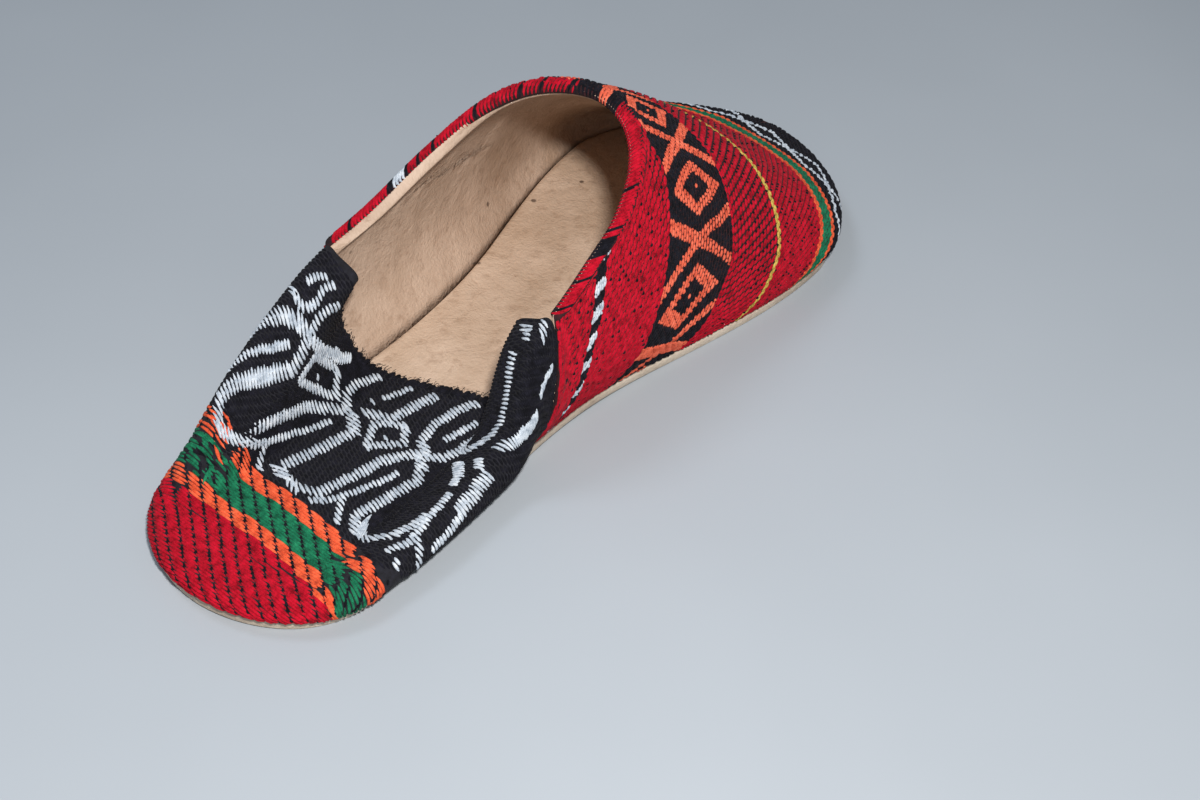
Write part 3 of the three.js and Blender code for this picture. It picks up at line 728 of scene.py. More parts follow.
WOOLS = {
    "red": wool("wool_crimson", "CE1430", "B00C24", "740414"),
    "black": wool("wool_black", "20202A", "13131A", "08080C"),
    "salmon": wool("wool_salmon", "EE7E62", "DC6248", "AC422E"),
    "white": wool("wool_white", "E2E8EC", "C0CAD4", "8E9AA6"),
    "green": wool("wool_green", "268A60", "17694A", "0C442E"),
    "yellow": wool("wool_yellow", "DCC368", "BCA04A", "866A2A"),
    "orange": wool("wool_orange", "F2754E", "E05A36", "A83C26"),
}
RED_PITCH = 1.4
FINE_PITCH = 0.9
DIAMONDS = ([-95, -81, -67.5, -53, -38, -24, -11, 3, 17, 31, 46, 61, 76, 91],
            [3, 2.5, 2, 1.5, 1, 0.5, 0, -0.5, -1, -1.5, -2, -2.5, -3, -3.5])
DASHES = np.array([-90, -84, -78.5, -73, -67.8, -62.3, -56.6, -51.3, -45.6, -40.1, -32.5, 32.8])


def vamp_colour(b, v):
    code = np.full(v.shape, 0)
    if abs(b - 124.7) < 2.7:
        off = np.abs(v[:, None] - DASHES).min(1)
        code[:] = np.where(off < np.interp(v, [-60, -30], [1.2, 1.75]), 3, 1)
        code[abs(b - 124.7) > np.interp(v, [-62, -34], [1.7, 2.7])] = 0
    elif 156.3 < b < 178:
        phase = np.interp(v, *DIAMONDS)
        across = abs(b - 167.2)
        way = np.abs(phase - np.round(phase)) * 32
        lattice = across / 20.6 + way / 16
        ring = across / 9.2 + way / 9.6
        heart = across / 4.6 + way / 5.3
        salmon = (np.abs(lattice - 1) < 0.135) | ((ring < 1) & (heart > 1)) | ((across < 0.6) & (way < 0.8))
        code[:] = np.where(salmon, 2, 1)
    elif abs(b - 196 - 0.4 * math.sin(b)) < 0.6:
        code[:] = 5
    elif 227.5 < b < 230 or 236 < b < 237.6:
        code[:] = 6
    elif 230 <= b <= 236:
        code[:] = 4
    elif b >= 237.6:
        beat = np.abs((v + 6) / 21 - np.round((v + 6) / 21))
        first = np.abs(b - 240.2 - 6 * beat) < 0.9
        second = np.abs(b - 247.5 + 7 * beat) < 0.8
        code[:] = np.where(first | second, 3, 1)
    return code


def vamp_columns():
    b = 78.0
    while b < 264:
        fine = abs(b - 124.7) < 3 or 155.5 < b < 178.5 or abs(b - 196) < 1 or b > 226.5
        pitch = FINE_PITCH if fine else RED_PITCH
        yield b + pitch / 2, pitch
        b += pitch


CODES = ["red", "black", "salmon", "white", "green", "yellow", "orange"]
vamp_floats = {name: [] for name in CODES}
walk = np.arange(-112, 112, 0.25)
for number, (b, pitch) in enumerate(vamp_columns()):
    u = line_at(np.full(walk.shape, b), walk)
    spot, _ = on_cloth(vamp_flat, u * MM, walk * MM)
    code = np.where(np.isnan(spot[:, 0]), -1, vamp_colour(b, walk))
    cuts = np.concatenate([[0], np.where(np.diff(code) != 0)[0] + 1, [len(code)]])
    reach = 2.8 if pitch == RED_PITCH else 2.4
    offset = (number * 1.05) % reach
    for begin, end in zip(cuts[:-1], cuts[1:]):
        if code[begin] < 0:
            continue
        v0, v1 = walk[begin], walk[end - 1] + 0.25
        marks = np.arange(math.floor((v0 - offset) / reach), math.ceil((v1 - offset) / reach) + 1)
        marks = np.clip(marks * reach + offset, v0, v1)
        for a, z in zip(marks[:-1], marks[1:]):
            # Now and then a short black float across a red column's edge at a float's end: painted shade for
            # the dark gap between floats.
            if code[begin] == 0 and pitch == RED_PITCH and rng.random() < 0.22:
                vamp_floats["black"].append((b + 0.7, a - 0.45, b + 0.7, a + 0.45, 0.75))
            if z - a > 0.5:
                lean = 0.24 * pitch if pitch == RED_PITCH else 0.06
                wide = rng.uniform(0.86, 0.97) if pitch == RED_PITCH else rng.uniform(0.95, 1.08)
                gap = 0.12 if pitch == RED_PITCH else 0.02
                row = (b - lean, a + gap, b + lean, z - gap, pitch * wide)
                vamp_floats[CODES[code[begin]]].append(row)

# The rim's floats lie over the turned edge, from the leather's side of it to the outside.
FULL_RISES = np.array([0.5, 0.9, 1.0, 0.9, 0.5])
throat = slice(SEAM_ROWS, last_row - SEAM_ROWS + 1)
rim_skin = np.concatenate([parting[throat, 4:0:-1], vamp_outer[throat, :14]], 1)
rim_flat = lay_along(rim_skin, grid_normals(rim_skin), np.full(len(rim_skin), 4), -1.8 * MM, 6 * MM)
rim_floats = {name: [] for name in CODES}
bands = np.arange(80, 190, 0.25)
RIM_PITCH = 1.15
at = 0.4
while at < rim_flat["length"] / MM - 1.6:
    place = on_cloth(rim_flat, np.array([at]) * MM, np.array([1.5]) * MM)[0][0]
    v = (place[1] - centre(place[0])) / MM
    b = np.interp(place[0] / MM, line_at(bands, np.full(bands.shape, v)), bands)
    name = CODES[int(vamp_colour(b, np.array([v]))[0])]
    near_side = at < rim_flat["length"] / MM / 2
    if name == "red" and rng.random() < 0.08 or name == "white" and (near_side or abs(b - 124.7) > 1.5):
        name = "black"
    lean = 1.3 if near_side else -1.3
    rim_floats[name].append((at, -1.5, at + lean, 3.5, rng.uniform(0.95, 1.15)))
    at += RIM_PITCH
for name, rows in vamp_floats.items():
    if not rows:
        continue
    rows = np.array(rows)
    starts = np.stack([line_at(rows[:, 0], rows[:, 1]), rows[:, 1]], -1) * MM
    ends = np.stack([line_at(rows[:, 2], rows[:, 3]), rows[:, 3]], -1) * MM
    bundles = [yarn_points(vamp_flat, starts, ends, rows[:, 4] * MM, rng.uniform(0.34, 0.5, len(rows)) * MM)]
    if rim_floats[name]:
        rim = np.array(rim_floats[name]).reshape(-1, 5) * MM
        bundles.append(yarn_points(rim_flat, rim[:, :2], rim[:, 2:4], rim[:, 4],
                                   rng.uniform(0.4, 0.5, len(rim)) * MM, FULL_RISES))
    yarn_piece("vamp_floats_" + name, bundles, WOOLS[name])

# Back quarter. The same lined cloth round the heel, trodden flat: it rises a little over the sole's
# edge, folds over and lies on the insole with a raw edge.
SEAM_LEAN = 6
QUARTER = [  # round, crest, belly, roll, dip, sink
    (-1.0, 1.0, 2.7, 1.3, 2.7, 0.88), (-0.965, 0.9, 2.6, 1.4, 2.8, 0.7), (-0.93, 0.5, 2.6, 1.6, 3.2, 0.24),
    (-0.89, 0.22, 2.5, 1.7, 3.8, 0.04), (-0.8, 0.13, 2.3, 1.8, 4.4, 0.0), (-0.6, 0.1, 1.9, 1.8, 4.8, 0.0),
    (-0.4, 0.05, 1.2, 1.7, 5.4, 0.0), (-0.2, 0.02, 0.5, 1.6, 6.0, 0.0), (0.2, 0.01, 0.2, 1.6, 6.0, 0.0),
    (0.4, 0.05, 0.3, 1.6, 5.6, 0.03), (0.5, 0.19, 0.7, 1.6, 5.2, 0.11), (0.62, 0.48, 1.2, 1.7, 4.8, 0.3),
    (0.76, 0.73, 1.9, 1.7, 4.2, 0.52), (0.9, 0.92, 2.5, 1.5, 3.3, 0.76), (1.0, 1.0, 2.8, 1.3, 2.7, 0.88)]
FOLD = [(0.75, 0, 0.25), (1, 0, 0.55), (1, 0.5, 0.92), (1, 1, 1)]
SHOULDER = (1.8, 0.3)
REST = (0.5, 0.25)
FREE_EDGE = [  # round, at, across, up
    (-1.0, 0.385, -0.78, 0.8), (-0.965, 0.386, -0.76, 0.5), (-0.93, 0.388, -0.7, 0.12),
    (-0.87, 0.387, -0.58, 0.01), (-0.5, 0.376, -0.28, 0.0), (0.0, 0.36, 0.1, 0.0), (0.45, 0.345, 0.5, 0.01),
    (0.65, 0.335, 0.78, 0.1), (0.85, 0.325, 0.96, 0.42), (1.0, 0.328, 0.93, 0.8)]
crest_share, over_share, roll_share, dip_share, sink_share = (column(QUARTER, k) for k in (1, 2, 3, 4, 5))
free_at, free_across, free_up = (column(FREE_EDGE, k) for k in (1, 2, 3))
TURNS = 361
LINE_STEPS = 180


def run_at_x(side, x):
    return np.interp(station_share(x) * EDGE_STEPS, np.arange(EDGE_STEPS + 1), EDGES[side]["run"])


def edge_at_run(side, run):
    return edge_at(side, np.interp(run, EDGES[side]["run"], np.arange(EDGE_STEPS + 1)))


def lying(x):
    return seat(x) + INSOLE + GAP + WALL / 2


def height_of(share, x):
    return lying(x) + (SEAM_TOP - WALL / 2 - lying(x)) * share


def smooth_line(points, steps):
    knots = np.array([2 * points[0] - points[1], *points, 2 * points[-1] - points[-2]])
    spans = np.sqrt(np.linalg.norm(np.diff(knots, axis=0), axis=1))
    place = np.linspace(0, len(points) - 1, steps + 1)
    i = np.minimum(place.astype(int), len(points) - 2)
    s = (place - i)[:, None]
    a, b, c, d = (knots[i + k] for k in range(4))
    before, here, after = (spans[i + k][:, None] for k in range(3))
    first = ((b - a) / before - (c - a) / (before + here) + (c - b) / here) * here
    second = ((c - b) / here - (d - b) / (here + after) + (d - c) / after) * here
    square = 3 * (c - b) - 2 * first - second
    cube = 2 * (b - c) + first + second
    return b + s * (first + s * (square + s * cube))


def quarter_line(turn):
    side = NEAR if turn < 0 else FAR
    foot = SEAM_FOOT[side]
    base, out = edge_at_run(side, abs(turn) * run_at_x(side, foot))
    low = seat(base[0])
    crest = height_of(crest_share(turn), base[0])
    over = over_share(turn) * WALL - WALL / 2
    roll = roll_share(turn) * WALL

    def place(away, z):
        lean = abs(turn) ** SEAM_LEAN * (seam_x(side, z) - foot)
        return np.array([base[0] + out[0] * away + lean, base[1] + out[1] * away, z])

    free_x = free_at(turn) * LENGTH
    free_y = centre(free_x) + free_across(turn) * half_width(free_x)
    free = np.array([free_x, free_y, height_of(free_up(turn), free_x)])
    sunk = place(-dip_share(turn) * WALL, height_of(sink_share(turn), base[0]))
    resting = sunk + (free - sunk) * REST[0]
    resting[2] = min(sunk[2], free[2]) + abs(free[2] - sunk[2]) * REST[1]
    points = [place(-WALL / 2, low)]
    points += [place(over * a - roll * b, low + (crest - low) * up) for a, b, up in FOLD]
    points.append(place(over - roll * SHOULDER[0], crest + (sunk[2] - crest) * SHOULDER[1]))
    points += [sunk, resting, free]
    line = smooth_line(np.array(points), LINE_STEPS)
    fold = int(np.argmax(line[:, 2]))
    line[fold:, 2] = np.maximum(line[fold:, 2], lying(line[fold:, 0]))
    return line, fold


turns = np.linspace(-1, 1, TURNS)
turns = turns + 0.1 * np.sin(np.pi * turns)
quarter_made = [quarter_line(turn) for turn in turns]
quarter_mid = np.array([made[0] for made in quarter_made])
folds = np.array([made[1] for made in quarter_made])
quarter_normal = grid_normals(quarter_mid)


def quarter_face(distance):
    normal = quarter_normal.copy()
    normal[:, 0, 2] = 0
    normal[[0, -1], :, 0] = 0
    moved = quarter_mid + unit(normal) * distance
    moved[0, :, 0] = seam_x(NEAR, moved[0, :, 2]) - GAP / 2
    moved[-1, :, 0] = seam_x(FAR, moved[-1, :, 2]) - GAP / 2
    floor = seat(moved[..., 0])
    moved[..., 2] = np.maximum(moved[..., 2], floor)
    moved[:, 0, 2] = floor[:, 0]
    return moved


# The quarter's ground is near-black painted shade for the shadow between its floats.
quarter_shade_backing = shade_backing("black_backing_painted_shade", "1C1C26", "0B0B10")
quarter_outer = quarter_face(WALL / 2)
quarter_inner = quarter_face(-WALL / 2)
quarter_parting = quarter_face(0.1 * MM)
points, faces = shell(quarter_outer[::2, ::-1], quarter_parting[::2, ::-1])
faces = [face[::-1] for face in faces]
quarter_cloth = solid("quarter_kilim_backing_painted_shade", points, faces, quarter_shade_backing)
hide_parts("heel_quarter")
points, faces = shell(quarter_parting[::2, ::-1], quarter_inner[::2, ::-1])
faces = [face[::-1] for face in faces]
solid("quarter_sheepskin_lining", points, faces, vamp_leather)

# Floats of the quarter. Crimson heel with black dots between its ribs that paint the shade of the gaps,
# orange and green bands, then a black field with white figures brocaded over it: long floats lie side by
# side at a slant.
half = TURNS // 2
halves = [[(i, folds[i]) for i in range(half, -1, -1)], [(i, folds[i]) for i in range(half, TURNS)]]
flap_flat = lay_flat(quarter_outer, quarter_normal, halves, lambda u: 0.0, (-3 * MM, 106 * MM),
                     (-60 * MM, 75 * MM))
fold_spot = quarter_outer[np.arange(TURNS), folds]
fold_run = length_along(fold_spot)
bulge = np.zeros(TURNS)
for i in range(TURNS):
    k = min(max(round((fold_spot[i, 0] - flap_flat["us"][0]) / FLAT_STEP), 0), len(flap_flat["us"]) - 1)
    known = np.where(~np.isnan(flap_flat["table"][k, :, 0]))[0]
    if len(known):
        j = known[0] if i < half else known[-1]
        bulge[i] = flap_flat["vs"][j] - flap_flat["table"][k, j, 1]
bulge = np.convolve(np.pad(bulge, 6, mode="edge"), np.full(13, 1 / 13), mode="valid")
fold_line = np.stack([fold_spot[:, 0], fold_spot[:, 1] + bulge], -1)
fold_way = unit(np.gradient(fold_line, axis=0))
flap_us, flap_vs = np.meshgrid(flap_flat["us"], flap_flat["vs"], indexing="ij")
beyond = ((flap_us > 35 * MM) & (flap_vs < -24 * MM)) | (flap_vs > 41 * MM) | (flap_vs < -34 * MM)
flap_flat["table"][beyond] = np.nan
wall_flat = lay_along(quarter_outer, quarter_normal, folds, -34 * MM, 62 * MM)

# On the sides the cloth rises off the insole, so there each line across the slipper runs straight from
# the chart's last cloth to the fold: its place, the fold's, and how far the two lie along and inside.
skin_in = np.linalg.norm(np.diff(quarter_outer, axis=1), axis=2)
side_marks = []
for far in (False, True):
    marks = []
    for u in np.arange(12, 41):
        k = round((u * MM - flap_flat["us"][0]) / FLAT_STEP)
        known = np.where(~np.isnan(flap_flat["table"][k, :, 0]))[0]
        if not len(known):
            continue
        j = known[-1] if far else known[0]
        last = flap_flat["table"][k, j, :3]
        branch = slice(half, TURNS) if far else slice(0, half)
        away = np.linalg.norm(quarter_outer[branch] - last, axis=-1)
        i, row = np.unravel_index(np.argmin(away), away.shape)
        i += branch.start
        inner = skin_in[i, min(row, folds[i]):max(row, folds[i])].sum() * (1 if row > folds[i] else -1)
        order = np.argsort(fold_spot[branch, 0])
        crest = [np.interp(u * MM, fold_spot[branch, 0][order], fold_spot[branch, c][order]) for c in (1, 2)]
        there = np.interp(u * MM, fold_spot[branch, 0][order], fold_run[branch][order])
        reach = math.hypot(crest[0] - last[1], crest[1] - last[2])
        edge = abs(flap_flat["vs"][j])
        marks.append([u * MM, edge, edge + max(reach, 1 * MM), fold_run[i], inner, there])
    side_marks.append(np.array(marks) / MM)


def over_fold(spots):
    """flat spots by the way along the fold and the distance from it, plus inside, in millimetres"""
    away = spots[:, None] * MM - fold_line[None]
    near = np.argmin(np.linalg.norm(away, axis=-1), axis=1)
    way = fold_way[near]
    away = away[np.arange(len(spots)), near]
    run = fold_run[near] + (away * way).sum(1)
    inside = way[:, 0] * away[:, 1] - way[:, 1] * away[:, 0]
    found = np.stack([run, -inside], -1) / MM
    for far in (False, True):
        rows = side_marks[far]
        marks = [np.interp(spots[:, 0], rows[:, 0], rows[:, k]) for k in range(1, 6)]
        edge, fold, edge_run, edge_in, run_there = marks
        way_out = spots[:, 1] if far else -spots[:, 1]
        part = np.clip((way_out - edge) / (fold - edge), -0.4, 1)
        straight = np.stack([edge_run + (run_there - edge_run) * part, edge_in * (1 - part)], -1)
        straight[:, 1] -= np.maximum(way_out - fold, 0)
        mix = np.clip((spots[:, 0] - 14) / 5, 0, 1) * ((spots[:, 1] > 0) == far)
        mix *= np.clip((way_out - edge) / 3 + 2, 0, 1)
        found += (straight - found) * mix[:, None]
    return found


SHIFTS = ([-52, -40, -28, -20, -10, 0, 10, 30, 45], [-13, -9, -5.5, -3, -1.2, -0.5, 0, 1, 2])


def band_at(u, v):
    return u - np.interp(v, *SHIFTS)


RIB_PITCH = 3.2
FLOAT_PITCH = 1.45
rib_way = np.array([0.616, 0.788])
rib_across = np.array([0.788, -0.616])
float_way = np.array([-0.06, -1.0])
flap_floats = {name: [] for name in CODES}
wall_floats = {name: [] for name in CODES}
lattice = []
for rib in range(-26, 26):
    for step in range(-40, 60):
        middle = rib_across * rib * RIB_PITCH + rib_way * (step * FLOAT_PITCH + (rib % 2) * 0.72)
        b = band_at(middle[0], middle[1])
        if b > 36.6 or not -52 < middle[1] < 54 or middle[0] < -16:
            continue
        name = "red" if b < 20 else "orange" if b < 24.3 else "green" if b < 32 else "orange"
        size = 2.85 + rng.uniform(-0.15, 0.15)
        lattice.append((name, middle - float_way * size, middle + float_way * size,
                        0.98 * rng.uniform(0.95, 1.12)))
        # Black dots in the gaps between ribs: painted shade of the gaps.
        if (step + rib) % 2 == 0 or rng.random() < 0.1:
            shade_dot = middle + rib_across * RIB_PITCH / 2 + rib_way * 0.75
            size = rng.uniform(0.65, 1.0)
            lattice.append(("black", shade_dot - rib_way * size, shade_dot + rib_way * size, rng.uniform(0.9, 1.25)))
starts = over_fold(np.array([row[1] for row in lattice]))
ends = over_fold(np.array([row[2] for row in lattice]))
middles = np.array([(row[1] + row[2]) / 2 for row in lattice]) * MM
bare = np.isnan(on_cloth(flap_flat, middles[:, 0], middles[:, 1])[0]).any(1)
for row, start, end, spot, none in zip(lattice, starts, ends, middles, bare):
    if none or spot[0] < 16.5 * MM and start[1] + end[1] < 16:
        wall_floats[row[0]].append((*start, *end, row[3]))
    else:
        flap_floats[row[0]].append((*row[1], *row[2], row[3]))

# The black field's edge by the way along the fold, at ways over it, on the near and the far side.
NEAR_FIELD = ([-14, -8, -5, 0, 4, 8, 12, 19], [77, 80.5, 82.5, 84.5, 83.5, 81.5, 79, 79])
FAR_FIELD = ([-24, -4, 1, 6, 12, 16, 20], [190, 184.5, 182, 178.7, 178, 173.8, 168])
FIELD_PITCH = 0.95
FIELD_REACH = 2.5
FIELD_STAGGER = 0.83
FIELD_HALF = 1.2
for low, high, top in ((0, 90, 22), (156, 237, 60)):
    for row in range(int(low / FIELD_PITCH), int(high / FIELD_PITCH)):
        for step in range(-14, int(top / FIELD_REACH)):
            f = row * FIELD_PITCH - 0.12 * step
            s = step * FIELD_REACH + (row % 3) * FIELD_STAGGER
            if f < np.interp(s, *NEAR_FIELD) or f > np.interp(s, *FAR_FIELD):
                wall_floats["black"].append((f, s - FIELD_HALF, f - 0.3, s + FIELD_HALF,
                                             rng.uniform(0.85, 1.0)))

FIGURES = [  # width and points of each white line, in flat cloth millimetres
    (3.2, [(39, 4), (39.5, 9), (41.4, 12.5), (52, 9.6), (63, 7), (66, 10), (69, 13)]),
    (2.4, [(39, 4), (41, -3)]),
    (2.9, [(39.5, 27), (50.8, 25), (59.5, 22), (65, 18), (69, 13)]),
    (2.0, [(58, 32), (65, 36), (74, 25), (69, 19.4), (58, 32)]),
    (1.1, [(65.8, 27.6), (66.8, 27.2)]),
    (2.8, [(41.4, -2), (50, -4.3), (60, -6.3), (65.8, -10), (69, -13)]),
    (2.8, [(36.5, -19), (41.4, -14.5), (50.8, -16.3), (60, -18), (64.5, -15.5), (67, -12.5)]),
    (1.2, [(43, 21), (50.8, 18.8), (57, 16.3), (63, 14.4)]),
    (1.2, [(44, -7.5), (52.6, -10.6), (59.5, -12.5)]),
    (1.4, [(43, 21), (40, 22.5), (37, 25)]),
    (1.4, [(43, 21), (39, 17.5), (37.6, 15.6)]),
    (1.4, [(44, -7.5), (40, -10), (35.8, -13)]),
    (1.4, [(44, -7.5), (39.5, -5), (37.5, -2)]),
    (2.0, [(61, 0.6), (69, 5), (73.6, -2), (68, -6), (61, 0.6)]),
    (1.1, [(66.6, -1), (67.6, -0.8)]),
    (2.0, [(69, 15), (72, 18), (75.8, 19), (80, 17.6), (84, 16)]),
    (2.9, [(70.5, 10), (72, 6), (73, 2.5), (78, 1.8), (82, 1.3), (88, -0.6)]),
    (2.4, [(69, -13), (72, -9), (78, -7.5), (88, -8.8), (92, -11)]),
    (2.6, [(68, -14), (71, -17.5), (75, -19), (81, -19.5), (88, -20.5)]),
    (1.2, [(78, 10), (82, 8.4), (86, 7)]),
    (1.2, [(76, -13.5), (82, -14.6), (87, -15.6)]),
    (1.4, [(75, 11.4), (75.8, 11.8)]),
]
WALL_FIGURES = [  # the same along the fold: the far side first, then the near side
    (3.0, [(185, 15), (184.5, 12), (183, 7), (181.5, 3.5)]),
    (2.6, [(181.5, 3.5), (185, 1.2), (188, 0)]),
    (3.4, [(188, 0), (192, 1.2), (194, 2.4), (199, 6), (204, 9.8), (208, 12.8)]),
    (2.6, [(208, 13.5), (213, 13), (218, 12)]),
    (2.4, [(218, 12), (217, 17), (214.5, 25)]),
    (3.0, [(214.5, 25), (211, 32), (206, 38), (202, 44)]),
    (1.6, [(218, 12), (222, 11), (226, 11.5), (229, 13)]),
    (3.6, [(218, 11), (217.5, 7), (215, 2.8), (212, 0), (209, -2.4), (205.5, -4.4)]),
    (1.5, [(195.5, -3), (201, 0.2), (206, 4.2), (212, 8.7)]),
    (1.7, [(220.5, 2), (221, 6), (223, 8), (228, 7), (232, 8.5)]),
    (1.6, [(220.5, 1.5), (222.5, -1)]),
    (1.3, [(226, 2), (229, 3), (231, 5)]),
    (2.6, [(81, 19), (78, 13), (77, 8), (75, 4), (70, 1.5), (65, 0.8)]),
    (0.9, [(56, 1), (60, 0.4), (66, 0), (70, -1), (75, -1.5), (80, 0.5)]),
    (2.2, [(43, 9), (46, 6.5), (49, 4), (53, 2.5)]),
    (2.0, [(42, 3), (45, 0.5)]),
    (2.6, [(9, 6.4), (14, 5.8), (20, 4.7), (25, 3.6), (30, 3), (33, 5), (36, 9), (39, 15)]),
    (1.0, [(3.5, -12), (8, -12), (12, -11.5)]),
    (2.2, [(17, -12), (24, -8.5), (30, -5), (35, -2), (38, 0.5)]),
    (3.2, [(45, -2.6), (52, -3.4), (59, -4.2)]),
    (1.3, [(59, -5.3), (65, -6.2), (71, -7)]),
    (1.6, [(72, -2), (74, -5), (76, -8)]),
    (1.3, [(80, -3.5), (81.5, -4.2)]),
    (2.6, [(2, 5.8), (4, 4.2), (6.5, 3)]),
    (1.8, [(1.6, 0), (4, -1.4), (6, -2.2)]),
]
FLOAT_GAP = 1.12


def flap_angle(u, v):
    steep = min(max((v - 14) / 12, 0), 1) * min(max((u - 42) / 12, 0), 1)
    return math.radians(min(max(70 + 0.12 * (u - 60) - 0.2 * (v - 2), 60), 82) + 20 * steep)


def wall_angle(f, s):
    lean = np.interp(f, [28, 36, 50, 58, 90, 160, 205, 216], [117, 81, 80, 93, 93, 120, 124, 110])
    return math.radians(lean + (np.interp(s, [13, 22], [0, 26]) if f > 150 else 0))


def brocade(figures, angle_at):
    rows = []
    for width, line in figures:
        line = np.array(line, float)
        way = length_along(line)
        at = 0.0
        while at <= way[-1]:
            spot = np.array([np.interp(at, way, line[:, k]) for k in (0, 1)])
            i = min(np.searchsorted(way, at, side="right") - 1, len(line) - 2)
            tangent = (line[i + 1] - line[i]) / (way[i + 1] - way[i])
            lean = angle_at(*spot)
            slant = (lean - math.atan2(tangent[1], tangent[0]) + math.pi / 2) % math.pi - math.pi / 2
            if abs(slant) < 0.7:
                lean += math.copysign(0.7 - abs(slant), slant)
            across = np.array([math.cos(lean), math.sin(lean)])
            crossing = abs(tangent[0] * across[1] - tangent[1] * across[0])
            reach = min(width / max(crossing, 0.35), width * 1.9)
            reach = (max(reach, 1.5) + 0.8) * rng.uniform(0.95, 1.15)
            shift = rng.uniform(-0.25, 0.25)
            rows.append((*(spot + across * (shift - reach / 2)), *(spot + across * (shift + reach / 2)),
                         rng.uniform(0.92, 1.06)))
            at += FLOAT_GAP / max(crossing, 0.45)
    return np.array(rows)


across = np.array([math.cos(math.radians(60)), math.sin(math.radians(60))])
beside = np.array([across[1], -across[0]])
for row in range(-110, 140):
    for step in range(-20, 60):
        middle = across * (step * FIELD_REACH + (row % 3) * FIELD_STAGGER) + beside * row * FIELD_PITCH
        if not (-26 < middle[1] < 30 and 34 < middle[0] < 108):
            continue
        if band_at(middle[0], middle[1]) < 36.8:
            continue
        flap_floats["black"].append((*(middle - across * FIELD_HALF), *(middle + across * FIELD_HALF),
                                     rng.uniform(0.85, 1.0)))


def bundles_of(name, low, high, rises=RISES):
    made = []
    for flat, floats in ((flap_flat, flap_floats), (wall_flat, wall_floats)):
        if len(floats[name]):
            rows = np.array(floats[name])
            made.append(yarn_points(flat, rows[:, :2] * MM, rows[:, 2:4] * MM, rows[:, 4] * MM,
                                    rng.uniform(low, high, len(rows)) * MM, rises))
    return made


flap_floats["white"] = brocade(FIGURES, flap_angle)
wall_floats["white"] = brocade(WALL_FIGURES, wall_angle)
for name in ("red", "orange", "green"):
    yarn_piece("quarter_floats_" + name, bundles_of(name, 0.42, 0.55), WOOLS[name])
yarn_piece("quarter_floats_black", bundles_of("black", 0.26, 0.34), WOOLS["black"])
yarn_piece("quarter_floats_white", bundles_of("white", 0.6, 0.72, FULL_RISES), WOOLS["white"])

# Raw edge of the quarter. The warp ends were never bound, so the cloth frays into small black tufts
# along its free edge, with loose hairs over the leather.
free_line = quarter_outer[:, -1]
inward = unit(quarter_outer[:, -9] - free_line)
along = length_along(free_line)
tufts = []
hairs = []


def strand(spine, over, width, height):
    return float_points(spine[None], np.repeat(over[None, None], len(STATIONS), 1), np.array([width * MM]),
                        np.array([height * MM]), FULL_RISES)


at = 1.0 * MM
while at < along[-1] - 1 * MM:
    spot, back, over = (np.array([np.interp(at, along, rows[:, k]) for k in range(3)])
                        for rows in (free_line, inward, quarter_normal[:, -1]))
    beside = np.cross(over, back)
    reach = rng.uniform(0.7, 1.5) * MM
    root = spot + back * 2.0 * MM
    tip = spot - back * reach - over * 0.5 * MM + beside * rng.uniform(-0.4, 0.4) * MM
    spine = np.array([root + (tip - root) * t for t in STATIONS])
    tufts.append(strand(spine, over, rng.uniform(1.7, 2.5), rng.uniform(0.4, 0.7)))
    for _ in range(4):
        root = spot + beside * rng.uniform(-1, 1) * MM - back * rng.uniform(-0.5, 0.8) * MM
        tip = root - back * rng.uniform(0.6, 2.0) * MM + beside * rng.uniform(-1, 1) * MM
        tip = tip + over * rng.uniform(-0.5, 0.4) * MM
        spine = np.array([root + (tip - root) * t + over * 0.3 * MM * math.sin(3 * t) for t in STATIONS])
        hairs.append(strand(spine, over, 0.09, 0.06))
    at += rng.uniform(1.3, 2.1) * MM
yarn_piece("quarter_raw_edge", tufts + hairs, WOOLS["black"])

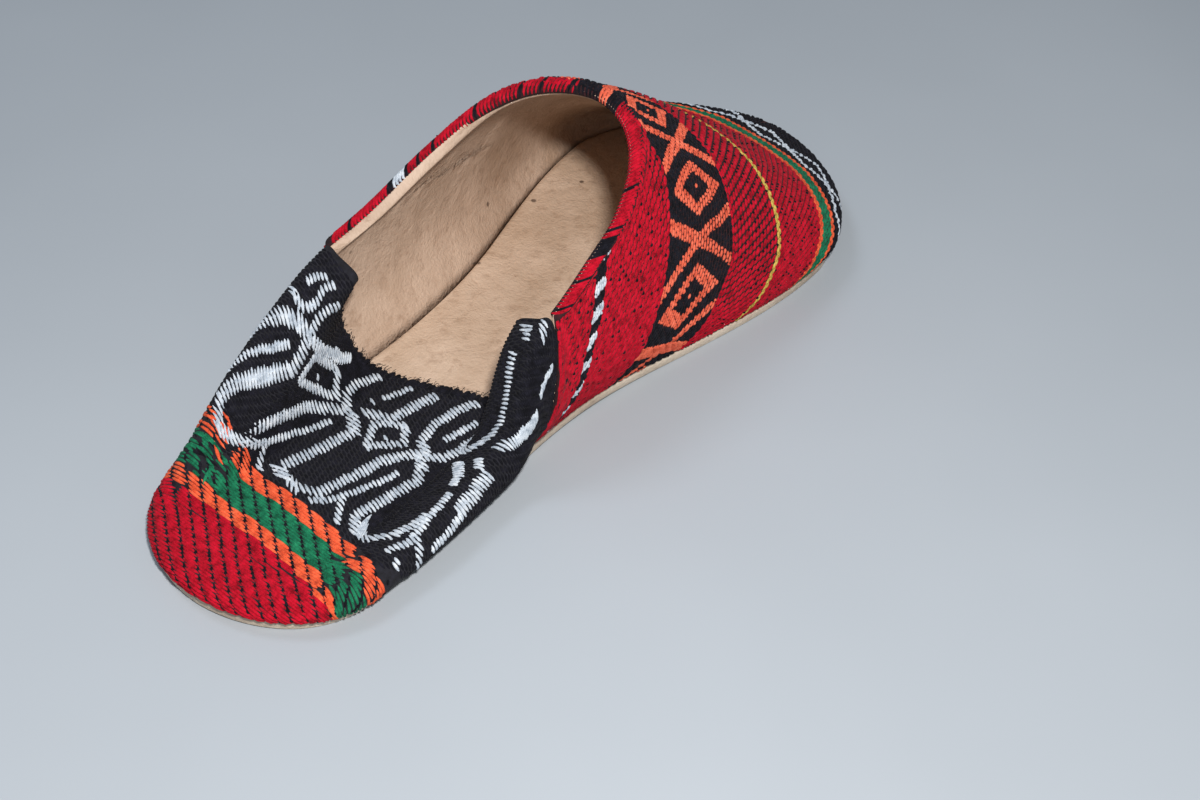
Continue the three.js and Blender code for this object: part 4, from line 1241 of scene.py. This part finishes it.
# Studio. A pale blue-grey sheet, a small flash above the camera and a soft window light from the left.
paper, tree, surface = new_material("paper_sheet_pale")
place = node(tree, "TexCoord").outputs["Object"]
cloud = node(tree, "TexNoise", {"Vector": place, "Scale": 6.0, "Detail": 3.0})
colour = node(tree, "ValToRGB", {"Fac": cloud}, stops=[(0.3, "A9B1B8"), (0.7, "AFB7BE")])
plug(tree, surface, {"Base Color": colour, "Roughness": 0.6})
mesh = bpy.data.meshes.new("floor")
mesh.from_pydata([(-3, -3, 0), (3, -3, 0), (3, 3, 0), (-3, 3, 0)], [], [[0, 1, 2, 3]])
mesh.materials.append(paper)
floor = in_scene("floor", mesh)

world = bpy.data.worlds.new("studio")
bpy.context.scene.world = world
world.use_nodes = True
world.node_tree.nodes["Background"].inputs["Color"].default_value = srgb("D5DEE8")
world.node_tree.nodes["Background"].inputs["Strength"].default_value = 0.3

TURN, DOWN, ROLL = math.radians(52.239), math.radians(41.363), math.radians(0.882)
right = np.array([math.cos(TURN), -math.sin(TURN), 0])
ahead = np.array([math.sin(TURN), math.cos(TURN), 0])
up = np.array([0, 0, 1.0])
view = ahead * math.cos(DOWN) - up * math.sin(DOWN)
top = ahead * math.sin(DOWN) + up * math.cos(DOWN)
camera_right = right * math.cos(ROLL) + top * math.sin(ROLL)
camera_up = top * math.cos(ROLL) - right * math.sin(ROLL)


def aim(thing, eye, x_axis, y_axis, z_axis):
    rows = [[x_axis[k], y_axis[k], z_axis[k], eye[k]] for k in range(3)] + [[0, 0, 0, 1]]
    thing.matrix_world = Matrix(rows)


lens = bpy.data.cameras.new("camera")
lens.lens = 60
lens.sensor_width = 36
lens.clip_start = 0.01
camera = in_scene("camera", lens)
eye = np.array([-202.229, -279.587, 360.082]) * MM - LAST_AT
aim(camera, eye, camera_right, camera_up, -view)
bpy.context.scene.camera = camera


def lamp(name, spot, size, watts, code):
    """a round lamp at the spot that shines on the middle of the slipper"""
    data = bpy.data.lights.new(name, "AREA")
    data.shape = "DISK"
    data.size = size
    data.energy = watts
    data.color = srgb(code)[:3]
    back = unit(spot)
    side = unit(np.cross([0.01, 1, 0.1], back))
    aim(in_scene(name, data), spot, side, np.cross(back, side), back)


lamp("flash", eye + up * 0.14 + right * 0.05, 0.05, 4.5, "FFFAF6")
lamp("window", -right * 0.5 + ahead * 0.15 + up * 1.1, 0.4, 2.4, "EAF2FF")
bpy.context.scene.view_settings.view_transform = "Standard"
